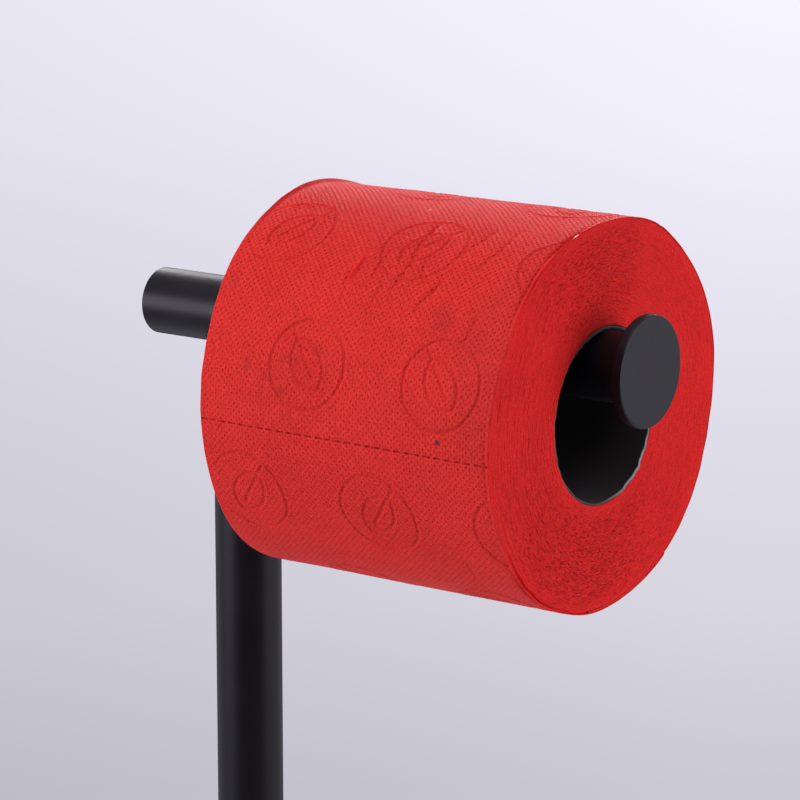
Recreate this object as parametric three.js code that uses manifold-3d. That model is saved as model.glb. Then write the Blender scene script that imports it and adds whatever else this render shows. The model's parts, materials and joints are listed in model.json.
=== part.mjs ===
// Freestanding toilet paper holder: a weighted round base, an upright in two lengths, an arm that
// crosses its top and ends in a disc, and a roll of paper that hangs on the arm.
// Millimetres, +Z up. The origin is on the floor under the middle of the base. +X runs along the arm
// to the end disc.

import * as THREE from 'three';
import { mergeVertices } from 'three/addons/utils/BufferGeometryUtils.js';
import Module from 'manifold-3d';

// Stand
const standHeight = 620;
const tubeDiameter = 19;
const tubeWall = 1;
const lowerPostLength = 290;
const armStub = 30.6;
const discDiameter = 30.5;
const discThickness = 2.8;
const discEdgeRadius = 0.5;
const rearCapThickness = 3;

// Base
const baseDiameter = 190;
const baseHeight = 16;
const coverSheet = 1;
const coverCornerRadius = 3.5;
const skirtLift = 1.5;
const padThickness = 3;
const weightEdgeEase = 0.5;
const boltWellDiameter = 26;

// Threaded pieces
const boltDiameter = 8;
const boltLength = 26;
const boltHeadAcross = 13;
const boltHeadHeight = 4.4;
const washerDiameter = 17;
const washerThickness = 1.6;
const lockWasherDiameter = 14;
const lockWasherThickness = 2.2;
const lockWasherSlit = 1.5;
const lockWasherSlitLean = Math.PI / 9;
const footInsertLength = 20;
const socketLength = 22;
const studLength = 34;
const armInsertLength = 18;
const spigotLength = 15;
const plugChamfer = 0.8;
const threadChamfer = 0.7;

// Weld under the arm
const beadFullRadius = 2.2;
const beadThinRadius = 1;

// Roll
const paperWidth = 94;
const paperDiameter = 109.6;
const coreDiameter = 48.6;
const coreWall = 0.8;
const postToRoll = 26.6;
const rollToDisc = 11.2;
const sheetThickness = 0.35;
const sheetTurnGap = 0.45;
const sheetTurns = 1.12;
const tailAngle = THREE.MathUtils.degToRad(215);
const sheetRimStand = 0.4;
const liftHeight = 0.3;
const liftDepth = 12;
const curlHeight = 1;
const curlDepth = 1.8;
const liftAngle = THREE.MathUtils.degToRad(-3);
const liftHalfSpread = THREE.MathUtils.degToRad(38);

// Clearances
const plugClearance = 0.1;
const threadClearance = 0.15;
const washerClearance = 0.25;
const headClearance = 0.2;
const coverClearance = 0.3;
const weldGap = 0.3;
const hangClearance = 0.25;
const coreClearance = 0.1;
const sheetClearance = 0.3;
const cutOverrun = 5;

// Facets
const tubeFacets = 64;
const threadFacets = 32;
const hexagonSides = 6;
const plugFacets = 32;
const baseFacets = 96;
const rollFacets = 96;
const cornerSteps = 2;
const beadSteps = 64;
const beadSides = 10;
const sheetFacetsPerTurn = 120;
const mergeTolerance = 1e-4;

// Sizes that follow from the ones above
const tubeRadius = tubeDiameter / 2;
const tubeBoreRadius = tubeRadius - tubeWall;
const armHeight = standHeight - tubeRadius;
const armReach = postToRoll + paperWidth + rollToDisc;
const plugRadius = tubeBoreRadius - plugClearance;
const boltRadius = boltDiameter / 2;
const threadBoreRadius = boltRadius + threadClearance;
const splitHeight = baseHeight + lowerPostLength;
const baseRadius = baseDiameter / 2;
const boltHeadSeat = padThickness + headClearance;
const lockWasherSeat = boltHeadSeat + boltHeadHeight;
const washerSeat = lockWasherSeat + lockWasherThickness;
const wellCeiling = washerSeat + washerThickness;
const coverInnerCorner = coverCornerRadius - coverSheet;
const coreRadius = coreDiameter / 2;
const coreBoreRadius = coreRadius - coreWall;
const rollDrop = coreBoreRadius - tubeRadius - hangClearance;
const sheetPitch = sheetThickness + sheetTurnGap;
const sheetSteps = Math.round(sheetFacetsPerTurn * sheetTurns);
const pitchPerStep = sheetPitch / sheetFacetsPerTurn;
const sheetStartRadius = paperDiameter / 2 - sheetThickness - pitchPerStep * sheetSteps;
const windingRadius = sheetStartRadius - sheetClearance;

const finishes = {
  blackPaint: new THREE.MeshStandardMaterial({ color: 0x1d1c20, roughness: 0.45, metalness: 0.3 }),
  castIron: new THREE.MeshStandardMaterial({ color: 0x4a4a4c, roughness: 0.7, metalness: 0.7 }),
  zincSteel: new THREE.MeshStandardMaterial({ color: 0xb4b6ba, roughness: 0.35, metalness: 0.9 }),
  blackRubber: new THREE.MeshStandardMaterial({ color: 0x1a1a1a, roughness: 0.9, metalness: 0 }),
  blackCard: new THREE.MeshStandardMaterial({ color: 0x151416, roughness: 0.9, metalness: 0 }),
  redPaper: new THREE.MeshStandardMaterial({ color: 0xc93230, roughness: 0.9, metalness: 0 })
};

const wasm = await Module();
wasm.setup();

// A closed outline in radius and height, drawn anticlockwise and turned about +Z.
function turned(outline, facets) {
  const geometry = new THREE.LatheGeometry(outline.getPoints(cornerSteps), facets);
  geometry.rotateX(Math.PI / 2);
  return geometry;
}

function toSolid(geometry) {
  const bare = geometry.clone();
  bare.deleteAttribute('normal');
  bare.deleteAttribute('uv');
  const merged = mergeVertices(bare, mergeTolerance);
  const corners = merged.index.array;
  const kept = [];
  for (let i = 0; i < corners.length; i += 3) {
    const [a, b, c] = corners.subarray(i, i + 3);
    if (a !== b && b !== c && c !== a) {
      kept.push(a, b, c);
    }
  }
  const mesh = new wasm.Mesh({
    numProp: 3,
    vertProperties: new Float32Array(merged.attributes.position.array),
    triVerts: new Uint32Array(kept)
  });
  return new wasm.Manifold(mesh);
}

function toGeometry(solid) {
  const mesh = solid.getMesh();
  return closedSurface(Array.from(mesh.vertProperties), Array.from(mesh.triVerts));
}

function closedSurface(positions, corners) {
  const geometry = new THREE.BufferGeometry();
  geometry.setAttribute('position', new THREE.Float32BufferAttribute(positions, 3));
  geometry.setIndex(corners);
  geometry.computeVertexNormals();
  return geometry;
}

function piece(name, geometry, finish, height = 0) {
  const mesh = new THREE.Mesh(geometry, finish);
  mesh.name = name;
  mesh.position.z = height;
  return mesh;
}

function pipe(outerRadius, boreRadius, length) {
  const outline = new THREE.Path();
  outline.moveTo(boreRadius, 0);
  outline.lineTo(outerRadius, 0);
  outline.lineTo(outerRadius, length);
  outline.lineTo(boreRadius, length);
  outline.lineTo(boreRadius, 0);
  return outline;
}

// A threaded plug, chamfered outside to enter the tube and inside to start the thread.
function threadedPlug(length) {
  const outline = new THREE.Path();
  outline.moveTo(threadBoreRadius + threadChamfer, 0);
  outline.lineTo(plugRadius - plugChamfer, 0);
  outline.lineTo(plugRadius, plugChamfer);
  outline.lineTo(plugRadius, length - plugChamfer);
  outline.lineTo(plugRadius - plugChamfer, length);
  outline.lineTo(threadBoreRadius + threadChamfer, length);
  outline.lineTo(threadBoreRadius, length - threadChamfer);
  outline.lineTo(threadBoreRadius, threadChamfer);
  outline.lineTo(threadBoreRadius + threadChamfer, 0);
  return turned(outline, plugFacets);
}

// The moulded disc lies inside the skirt and stands proud of its edge, so that only it meets the floor.
function basePad() {
  const radius = baseRadius - coverSheet - coverClearance;
  const outline = new THREE.Path();
  outline.moveTo(0, 0);
  outline.lineTo(radius, 0);
  outline.lineTo(radius, padThickness);
  outline.lineTo(0, padThickness);
  return turned(outline, baseFacets);
}

function baseWeight() {
  const radius = baseRadius - coverSheet - coverClearance;
  const top = baseHeight - coverSheet;
  const edge = coverInnerCorner + weightEdgeEase;
  const holeRadius = boltRadius + washerClearance;
  const wellRadius = boltWellDiameter / 2;
  const outline = new THREE.Path();
  outline.moveTo(wellRadius, padThickness);
  outline.lineTo(radius, padThickness);
  outline.lineTo(radius, top - edge);
  outline.absarc(radius - edge, top - edge, edge, 0, Math.PI / 2);
  outline.lineTo(holeRadius, top);
  outline.lineTo(holeRadius, wellCeiling);
  outline.lineTo(wellRadius, wellCeiling);
  outline.lineTo(wellRadius, padThickness);
  return turned(outline, baseFacets);
}

// Spun from sheet: flat top, one round corner and an upright skirt.
function baseCover() {
  const cornerCentre = baseRadius - coverCornerRadius;
  const cornerHeight = baseHeight - coverCornerRadius;
  const holeRadius = boltRadius + washerClearance;
  const outline = new THREE.Path();
  outline.moveTo(baseRadius - coverSheet, skirtLift);
  outline.lineTo(baseRadius, skirtLift);
  outline.lineTo(baseRadius, cornerHeight);
  outline.absarc(cornerCentre, cornerHeight, coverCornerRadius, 0, Math.PI / 2);
  outline.lineTo(holeRadius, baseHeight);
  outline.lineTo(holeRadius, baseHeight - coverSheet);
  outline.lineTo(cornerCentre, baseHeight - coverSheet);
  outline.absarc(cornerCentre, cornerHeight, coverInnerCorner, Math.PI / 2, 0, true);
  outline.lineTo(baseRadius - coverSheet, skirtLift);
  return turned(outline, baseFacets);
}

// Six-sided head with its corners turned off, and a shank with a chamfered tip.
function footBolt() {
  const cornerRadius = boltHeadAcross / 2 / Math.cos(Math.PI / hexagonSides);
  const hexagon = new THREE.CylinderGeometry(
    cornerRadius,
    cornerRadius,
    boltHeadHeight,
    hexagonSides
  );
  hexagon.rotateX(Math.PI / 2);
  hexagon.translate(0, 0, boltHeadHeight / 2);
  const turnedOff = cornerRadius - boltHeadAcross / 2;
  const dome = new THREE.Path();
  dome.moveTo(0, 0);
  dome.lineTo(boltHeadAcross / 2, 0);
  dome.lineTo(cornerRadius, turnedOff / 2);
  dome.lineTo(cornerRadius, boltHeadHeight + threadChamfer);
  dome.lineTo(0, boltHeadHeight + threadChamfer);
  const top = boltHeadHeight + boltLength;
  const shank = new THREE.Path();
  shank.moveTo(0, boltHeadHeight / 2);
  shank.lineTo(boltRadius, boltHeadHeight / 2);
  shank.lineTo(boltRadius, top - threadChamfer);
  shank.lineTo(boltRadius - threadChamfer, top);
  shank.lineTo(0, top);
  const head = toSolid(hexagon).intersect(toSolid(turned(dome, threadFacets)));
  return toGeometry(head.add(toSolid(turned(shank, threadFacets))));
}

function washer(diameter, thickness) {
  return turned(pipe(diameter / 2, boltRadius + washerClearance, thickness), threadFacets);
}

// A spring washer, pressed flat, keeps its slanting slit.
function lockWasher() {
  const slitLength = lockWasherDiameter;
  const slit = new THREE.BoxGeometry(slitLength, lockWasherSlit, lockWasherThickness + cutOverrun);
  slit.rotateX(lockWasherSlitLean);
  slit.translate(slitLength / 2, 0, lockWasherThickness / 2);
  const ring = toSolid(washer(lockWasherDiameter, lockWasherThickness));
  return toGeometry(ring.subtract(toSolid(slit)));
}

function couplingStud() {
  const outline = new THREE.Path();
  outline.moveTo(0, -studLength / 2);
  outline.lineTo(boltRadius - threadChamfer, -studLength / 2);
  outline.lineTo(boltRadius, threadChamfer - studLength / 2);
  outline.lineTo(boltRadius, studLength / 2 - threadChamfer);
  outline.lineTo(boltRadius - threadChamfer, studLength / 2);
  outline.lineTo(0, studLength / 2);
  return turned(outline, threadFacets);
}

function crossCylinder(radius, reach) {
  const cutter = new THREE.CylinderGeometry(radius, radius, 2 * reach, tubeFacets);
  cutter.rotateZ(Math.PI / 2);
  return toSolid(cutter);
}

// The upright ends in a saddle that fits round the underside of the arm.
function postUpper() {
  const tube = turned(pipe(tubeRadius, tubeBoreRadius, armHeight - splitHeight), tubeFacets);
  const arm = crossCylinder(tubeRadius + weldGap, tubeDiameter);
  return toGeometry(toSolid(tube).subtract(arm.translate([0, 0, armHeight - splitHeight])));
}

// A ring of weld along the saddle's edge, thick where the walls stand square and thin at the sides,
// where the two tubes lie flush. Its height is measured from the arm's axis.
function teeWeld() {
  const positions = [];
  const corners = [];
  for (let i = 0; i < beadSteps; i += 1) {
    const around = (i / beadSteps) * 2 * Math.PI;
    const square = Math.abs(Math.cos(around));
    const size = THREE.MathUtils.lerp(beadThinRadius, beadFullRadius, square);
    for (let j = 0; j < beadSides; j += 1) {
      const turn = (j / beadSides) * 2 * Math.PI;
      const radius = tubeRadius + size * Math.cos(turn);
      const height = size * Math.sin(turn) - tubeRadius * square;
      positions.push(radius * Math.cos(around), radius * Math.sin(around), height);
      const nextStep = ((i + 1) % beadSteps) * beadSides;
      const nextSide = (j + 1) % beadSides;
      const here = i * beadSides;
      corners.push(here + j, nextStep + j, nextStep + nextSide);
      corners.push(here + j, nextStep + nextSide, here + nextSide);
    }
  }
  const bead = toSolid(closedSurface(positions, corners));
  const arm = crossCylinder(tubeRadius + weldGap, tubeDiameter);
  const post = new THREE.CylinderGeometry(
    tubeRadius + weldGap,
    tubeRadius + weldGap,
    2 * tubeDiameter,
    tubeFacets
  );
  post.rotateX(Math.PI / 2);
  return toGeometry(bead.subtract(arm).subtract(toSolid(post)));
}

function armRearCap() {
  const outline = new THREE.Path();
  outline.moveTo(0, 0);
  outline.lineTo(plugRadius, 0);
  outline.lineTo(plugRadius, rearCapThickness - plugChamfer);
  outline.lineTo(plugRadius - plugChamfer, rearCapThickness);
  outline.lineTo(0, rearCapThickness);
  return turned(outline, tubeFacets);
}

// Disc and spigot are one turned piece. Height zero is the disc's back face.
function endDisc() {
  const radius = discDiameter / 2;
  const edge = radius - discEdgeRadius;
  const outline = new THREE.Path();
  outline.moveTo(0, -spigotLength);
  outline.lineTo(boltRadius - threadChamfer, -spigotLength);
  outline.lineTo(boltRadius, threadChamfer - spigotLength);
  outline.lineTo(boltRadius, 0);
  outline.lineTo(edge, 0);
  outline.absarc(edge, discEdgeRadius, discEdgeRadius, -Math.PI / 2, 0);
  outline.lineTo(radius, discThickness - discEdgeRadius);
  outline.absarc(edge, discThickness - discEdgeRadius, discEdgeRadius, 0, Math.PI / 2);
  outline.lineTo(0, discThickness);
  return turned(outline, tubeFacets);
}

// The outermost sheet is one unbroken strip, wound in a spiral of a little over one turn round the
// plain winding, with its tail under the back of the roll. Its far edge lifts and curls along the top.
// Angles run from the top of the roll over its front. Distances along run from the far edge.
const curlStationShares = [0, 0.3, 0.65, 1];
const curlStations = curlStationShares.map((share) => share * curlDepth);
const sheetStations = [
  ...curlStations,
  (curlDepth + liftDepth) / 2,
  liftDepth,
  (liftDepth + paperWidth) / 2,
  paperWidth
];

function sheetLift(angle, along) {
  const off = Math.abs(Math.atan2(Math.sin(angle - liftAngle), Math.cos(angle - liftAngle)));
  if (off > liftHalfSpread) {
    return 0;
  }
  const lift = Math.max(0, 1 - along / liftDepth);
  const curl = Math.max(0, 1 - along / curlDepth);
  const spread = Math.cos((off / liftHalfSpread) * Math.PI / 2);
  return (liftHeight * lift * lift + curlHeight * curl * curl) * spread * spread;
}

function sheetPoint(step, along, offset) {
  const angle = tailAngle - ((sheetSteps - step) / sheetFacetsPerTurn) * 2 * Math.PI;
  const radius = sheetStartRadius + step * pitchPerStep + offset + sheetLift(angle, along);
  return new THREE.Vector3(-radius * Math.cos(angle), -radius * Math.sin(angle), along);
}

function outerSheet() {
  const positions = [];
  const corners = [];
  const rowLength = 2 * sheetStations.length;
  const quad = (a, b, c, d) => corners.push(a, c, b, a, d, c);
  for (let step = 0; step <= sheetSteps; step += 1) {
    for (const along of sheetStations) {
      positions.push(...sheetPoint(step, along, 0), ...sheetPoint(step, along, sheetThickness));
    }
  }
  for (let station = 0; station < rowLength - 2; station += 2) {
    const last = sheetSteps * rowLength + station;
    quad(station, station + 2, station + 3, station + 1);
    quad(last, last + 1, last + 3, last + 2);
    for (let step = 0; step < sheetSteps; step += 1) {
      const here = step * rowLength + station;
      const next = here + rowLength;
      quad(here, next, next + 2, here + 2);
      quad(here + 1, here + 3, next + 3, next + 1);
    }
  }
  for (let step = 0; step < sheetSteps; step += 1) {
    const far = step * rowLength;
    const near = far + rowLength - 2;
    quad(far, far + 1, far + rowLength + 1, far + rowLength);
    quad(near, near + rowLength, near + rowLength + 1, near + 1);
  }
  return closedSurface(positions, corners);
}

// Where the strip laps over its own start, the gap is read off its points.
function leastSheetGap() {
  let least = Infinity;
  for (let step = sheetFacetsPerTurn; step <= sheetSteps; step += 1) {
    for (const along of sheetStations) {
      const under = sheetPoint(step - sheetFacetsPerTurn, along, sheetThickness);
      const over = sheetPoint(step, along, 0);
      least = Math.min(least, under.distanceTo(over));
    }
  }
  return least;
}

const holder = new THREE.Group();

const base = new THREE.Group();
base.add(piece('base_pad', basePad(), finishes.blackRubber));
base.add(piece('base_weight', baseWeight(), finishes.castIron));
base.add(piece('base_cover', baseCover(), finishes.blackPaint));
base.add(piece('foot_bolt', footBolt(), finishes.zincSteel, boltHeadSeat));
base.add(piece('foot_lock_washer', lockWasher(), finishes.zincSteel, lockWasherSeat));
base.add(piece('foot_washer', washer(washerDiameter, washerThickness), finishes.zincSteel, washerSeat));
holder.add(base);

const post = new THREE.Group();
const lowerTube = turned(pipe(tubeRadius, tubeBoreRadius, lowerPostLength), tubeFacets);
post.add(piece('post_foot_insert', threadedPlug(footInsertLength), finishes.zincSteel, baseHeight));
post.add(piece('post_lower', lowerTube, finishes.blackPaint, baseHeight));
post.add(piece(
  'post_lower_socket',
  threadedPlug(socketLength),
  finishes.zincSteel,
  splitHeight - socketLength
));
post.add(piece('coupling_stud', couplingStud(), finishes.zincSteel, splitHeight));
post.add(piece('post_upper_socket', threadedPlug(socketLength), finishes.zincSteel, splitHeight));
post.add(piece('post_upper', postUpper(), finishes.blackPaint, splitHeight));
post.add(piece('tee_weld', teeWeld(), finishes.blackPaint, armHeight));
holder.add(post);

// In this group and the roll's, height runs along the arm and counts from the post's axis.
const arm = new THREE.Group();
arm.position.z = armHeight;
arm.rotation.y = Math.PI / 2;
const armTube = turned(pipe(tubeRadius, tubeBoreRadius, armStub + armReach), tubeFacets);
arm.add(piece('arm_tube', armTube, finishes.blackPaint, -armStub));
arm.add(piece('arm_rear_cap', armRearCap(), finishes.blackPaint, -armStub));
arm.add(piece(
  'arm_front_insert',
  threadedPlug(armInsertLength),
  finishes.zincSteel,
  armReach - armInsertLength
));
arm.add(piece('end_disc', endDisc(), finishes.blackPaint, armReach));
holder.add(arm);

const roll = new THREE.Group();
roll.position.z = armHeight - rollDrop;
roll.rotation.y = Math.PI / 2;
const core = turned(pipe(coreRadius, coreBoreRadius, paperWidth), rollFacets);
const winding = turned(pipe(windingRadius, coreRadius + coreClearance, paperWidth), rollFacets);
roll.add(piece('roll_core', core, finishes.blackCard, postToRoll));
roll.add(piece('paper_winding', winding, finishes.redPaper, postToRoll));
roll.add(piece('outer_sheet', outerSheet(), finishes.redPaper, postToRoll + sheetRimStand));
holder.add(roll);

console.log(`outer_sheet: least gap between its turns ${leastSheetGap().toFixed(2)} mm`);

export default holder;
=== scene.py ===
"""A freestanding toilet paper holder with a roll of red embossed paper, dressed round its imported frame.

Every piece is a surface worked out with numpy from two parameters. Lengths are metres, +Z is up and
+X runs along the arm to its end disc. On the roll, an angle is counted from the top over the front.
"""

import json
import math

import bpy
import numpy as np
from bpy.props import FloatProperty, FloatVectorProperty, IntProperty, PointerProperty
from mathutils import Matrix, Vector


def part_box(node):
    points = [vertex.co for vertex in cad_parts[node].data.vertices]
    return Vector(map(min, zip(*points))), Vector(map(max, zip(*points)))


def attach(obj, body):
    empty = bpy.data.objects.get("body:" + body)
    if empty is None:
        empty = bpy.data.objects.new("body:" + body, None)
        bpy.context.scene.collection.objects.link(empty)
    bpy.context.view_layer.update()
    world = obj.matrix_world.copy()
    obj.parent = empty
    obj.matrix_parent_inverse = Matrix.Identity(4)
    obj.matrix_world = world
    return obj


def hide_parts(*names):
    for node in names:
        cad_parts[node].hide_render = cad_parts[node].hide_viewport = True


bl_info = {
    "name": "Paper Holder",
    "version": (1, 0, 0),
    "blender": (4, 5, 0),
    "location": "3D Viewport > Sidebar > Paper Holder",
    "description": "Builds a freestanding toilet paper holder with an embossed roll",
    "category": "Add Mesh",
}

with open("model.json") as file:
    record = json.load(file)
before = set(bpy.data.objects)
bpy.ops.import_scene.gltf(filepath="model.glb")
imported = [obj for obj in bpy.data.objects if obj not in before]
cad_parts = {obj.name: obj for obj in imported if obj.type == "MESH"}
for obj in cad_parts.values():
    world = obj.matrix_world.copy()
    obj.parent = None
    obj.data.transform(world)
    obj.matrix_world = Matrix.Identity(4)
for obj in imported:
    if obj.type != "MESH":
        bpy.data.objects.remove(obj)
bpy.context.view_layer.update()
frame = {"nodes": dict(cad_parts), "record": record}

MM = 0.001
FULL_TURN = 2 * math.pi
QUARTER = math.pi / 2


def node_box(node):
    """Lowest and highest corners of a frame node, as arrays."""
    low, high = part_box(node)
    return np.array(low), np.array(high)


ARM_LOW, ARM_HIGH = node_box("arm_tube")
LOWER_LOW, LOWER_HIGH = node_box("post_lower")
DISC_HIGH = node_box("end_disc")[1]
COVER_LOW, COVER_HIGH = node_box("base_cover")
PAD_HIGH = node_box("base_pad")[1]
CORE_LOW, CORE_HIGH = node_box("roll_core")
WOUND_LOW, WOUND_HIGH = node_box("paper_winding")
SHEET_LOW, SHEET_HIGH = node_box("outer_sheet")

TUBE_RADIUS = (ARM_HIGH[1] - ARM_LOW[1]) / 2
ARM_AXIS_Z = (ARM_HIGH[2] + ARM_LOW[2]) / 2
ROLL_AXIS_Z = (CORE_HIGH[2] + CORE_LOW[2]) / 2
CORE_RADIUS = (CORE_HIGH[1] - CORE_LOW[1]) / 2
ROLL_FAR_X = WOUND_LOW[0]
ROLL_NEAR_X = WOUND_HIGH[0]
ROLL_WIDTH = ROLL_NEAR_X - ROLL_FAR_X

# Outer radius of the loose sheet at its tail, which lies a little farther out than the roll's sides.
SHEET_RADIUS = (SHEET_HIGH[1] - SHEET_LOW[1]) / 2 + 0.48 * MM

# How strongly each fine pit of the tissue is narrowed across, in its mesh and in its material.
PIT_NARROWING = 0.55

# Length of paper that one unit of its UV map stands for.
UV_UNIT = 100 * MM


def length(name, description, default):
    """A size in metres that a user can change."""
    return FloatProperty(
        name=name, description=description, default=default, min=0.0, unit="LENGTH", precision=5
    )


def angle(name, description, degrees):
    """An angle that a user can change, given here in degrees."""
    return FloatProperty(
        name=name, description=description, default=math.radians(degrees), subtype="ANGLE"
    )


def amount(name, description, default, high=1.0):
    """A plain number from 0 to a highest value."""
    return FloatProperty(name=name, description=description, default=default, min=0.0, max=high)


def colour(name, description, default):
    """A linear colour without alpha."""
    return FloatVectorProperty(
        name=name, description=description, default=default, subtype="COLOR", size=3, min=0, max=1
    )


class StandSettings(bpy.types.PropertyGroup):
    """Sizes and colours of the black stand."""

    tube_wall: length("Tube wall", "Wall of the post and the arm", 1.0 * MM)
    tube_edge: length("Tube edge", "Rounding of the tubes' cut ends", 0.25 * MM)
    seam_edge: length("Seam edge", "Rounding where the two posts meet", 0.35 * MM)
    weld_leg: length("Weld leg", "Reach of the weld along each tube", 2.0 * MM)
    disc_thickness: length("Disc thickness", "Thickness of the end disc", 2.8 * MM)
    disc_edge: length("Disc edge", "Rounding of the end disc's rim", 0.45 * MM)
    cover_sheet: length("Cover sheet", "Sheet of the base cover", 1.0 * MM)
    cover_corner: length("Cover corner", "Outer rounding of the base cover", 3.5 * MM)
    pad_groove_pitch: length("Pad groove pitch", "Spacing of the pad's grip rings", 6.0 * MM)
    pad_groove_depth: length("Pad groove depth", "Depth of the pad's grip rings", 0.5 * MM)
    paint: colour("Paint", "Black powder coat", (0.0038, 0.0034, 0.0054))
    paint_roughness: amount("Paint roughness", "Roughness of the powder coat", 0.39)
    facets: IntProperty(name="Facets", description="Facets round a tube", default=160, min=24)


class RollSettings(bpy.types.PropertyGroup):
    """Sizes and colours of the paper roll."""

    core_wall: length("Core wall", "Wall of the card core", 0.7 * MM)
    core_stand: length("Core stand", "How far the core's end stands out of the paper", 0.3 * MM)
    layer_pitch: length("Layer pitch", "Spacing of the wound layers", 0.49 * MM)
    sheet_thickness: length("Sheet thickness", "Thickness of the loose outer sheet", 0.3 * MM)
    turn_pitch: length("Turn pitch", "Growth of the outer sheet in one turn", 0.5 * MM)
    sheet_length: length("Sheet length", "From one perforation to the next", 116.6 * MM)
    tail_angle: angle("Tail angle", "Where the paper's tail ends", 215)
    sheet_turns: amount("Sheet turns", "Turns of the loose outer sheet", 1.12, high=3)
    rim_stand: length("Rim stand", "How far the outer sheet stands out of the near face", 0.5 * MM)
    rim_flare: length("Rim flare", "How far the near edge turns up", 0.54 * MM)
    lift_height: length("Lift height", "Broad lift of the far edge", 0.2 * MM)
    lift_depth: length("Lift depth", "How far in the broad lift reaches", 12 * MM)
    curl_height: length("Curl height", "Curl of the far edge", 0.80 * MM)
    curl_depth: length("Curl depth", "How far in the curl reaches", 1.8 * MM)
    lift_angle: angle("Lift angle", "Middle of the lifted edge", -3)
    lift_spread: angle("Lift spread", "Half the angle over which the edge lifts", 38)
    dimple_across: length("Dimple pitch across", "Along the roll's axis", 1.82 * MM)
    dimple_along: length("Dimple pitch along", "Along the paper's length", 1.88 * MM)
    dimple_depth: length("Dimple depth", "Depth of the fine pattern", 0.08 * MM)
    emboss_depth: length("Emboss depth", "Depth of the pressed motifs", 0.46 * MM)
    emboss_width: length("Emboss width", "Width of a pressed line", 0.82 * MM)
    motif_radius: length("Motif radius", "Radius of the large pressed ring", 12 * MM)
    perforation_pitch: length("Perforation pitch", "Spacing of the cuts", 3.2 * MM)
    perforation_cut: length("Perforation cut", "Length of one cut", 2.1 * MM)
    paper: colour("Paper", "Red tissue", (0.562, 0.0256, 0.0206))
    # The shade red is painted shade, which the pits, gaps, folds, cuts and dashes turn towards.
    paper_shade: colour("Paper shade", "Red in the pits and gaps", (0.360, 0.0030, 0.0045))
    card: colour("Card", "Black card of the core", (0.0500, 0.0440, 0.0455))
    card_edge: colour("Card edge", "Grey cut edge of the core", (0.250, 0.250, 0.268))


class StageSettings(bpy.types.PropertyGroup):
    """Floor, lights and camera."""

    tint: colour("Tint", "Faint violet of the floor, the wall and the air", (0.980, 0.960, 1.0))
    lens: FloatProperty(name="Lens", description="Focal length", default=170.6, unit="CAMERA")


# Arrays and meshes


def signed_volume(points, triangles):
    """Six times the volume inside a closed surface; negative where its faces point inwards."""
    a, b, c = points[triangles[:, 0]], points[triangles[:, 1]], points[triangles[:, 2]]
    return float(np.einsum("ij,ij->", a, np.cross(b, c)))


def ring_quads(count, around, joined=False):
    """Four-sided faces between neighbouring rings; where joined, the last ring meets the first."""
    row = np.arange(count if joined else count - 1)[:, None]
    next_row = (row + 1) % count
    here = np.arange(around)[None, :]
    after = (here + 1) % around
    corners = [
        row * around + here,
        row * around + after,
        next_row * around + after,
        next_row * around + here,
    ]
    return np.stack(corners, axis=-1).reshape(-1, 4)


def closed_form(name, rings, uv=None, fields=None, joined=False):
    """A closed mesh through rings of points, shape (rings, points, 3).

    Neighbouring rings are joined by four-sided faces. Both ends are closed by a fan to the middle of
    the ring, or, where joined is true, the last ring meets the first. uv and fields hold one value
    for each point of each ring; a fan's middle takes the mean of its ring.
    """
    count, around = rings.shape[:2]
    points = rings.reshape(-1, 3)
    quads = ring_quads(count, around, joined)
    fans = np.empty((0, 3), dtype=int)
    if not joined:
        here = np.arange(around)
        after = (here + 1) % around
        first, last = count * around, count * around + 1
        start = np.stack([np.full(around, first), after, here], axis=-1)
        tail = (count - 1) * around
        end = np.stack([np.full(around, last), tail + here, tail + after], axis=-1)
        fans = np.concatenate([start, end])
        points = np.concatenate([points, rings[[0, -1]].mean(axis=1)])
    halves = np.concatenate([quads[:, [0, 1, 2]], quads[:, [0, 2, 3]], fans])
    if signed_volume(points - points.mean(axis=0), halves) < 0:
        quads, fans = quads[:, ::-1], fans[:, ::-1]

    def flat(values):
        """Ring values as one row for each point of the mesh, with the fans' middles added."""
        rows = values.reshape(count * around, -1)
        if joined:
            return rows
        return np.concatenate([rows, values[[0, -1]].mean(axis=1).reshape(2, -1)])

    return mesh_object(
        name,
        points,
        quads,
        fans,
        None if uv is None else flat(uv),
        {key: flat(values) for key, values in (fields or {}).items()},
    )


def mesh_object(name, points, quads, triangles, uv, fields):
    """A smooth-shaded mesh object at the origin from arrays of points and faces."""
    mesh = bpy.data.meshes.new(name)
    corners = np.concatenate([quads.ravel(), triangles.ravel()]).astype(np.int32)
    sizes = np.concatenate([np.full(len(quads), 4), np.full(len(triangles), 3)])
    starts = np.concatenate([[0], np.cumsum(sizes)[:-1]]).astype(np.int32)
    mesh.vertices.add(len(points))
    mesh.vertices.foreach_set("co", points.astype(np.float32).ravel())
    mesh.loops.add(len(corners))
    mesh.loops.foreach_set("vertex_index", corners)
    mesh.polygons.add(len(sizes))
    mesh.polygons.foreach_set("loop_start", starts)
    if uv is not None:
        layer = mesh.uv_layers.new(name="UVMap")
        layer.data.foreach_set("uv", uv[corners].astype(np.float32).ravel())
    for key, values in fields.items():
        kind, slot = ("FLOAT_VECTOR", "vector") if values.shape[1] == 3 else ("FLOAT", "value")
        layer = mesh.attributes.new(key, kind, "POINT")
        layer.data.foreach_set(slot, values.astype(np.float32).ravel())
    mesh.update(calc_edges=True)
    mesh.validate()
    mesh.shade_smooth()
    piece = bpy.data.objects.new(name, mesh)
    bpy.context.scene.collection.objects.link(piece)
    return piece


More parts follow.
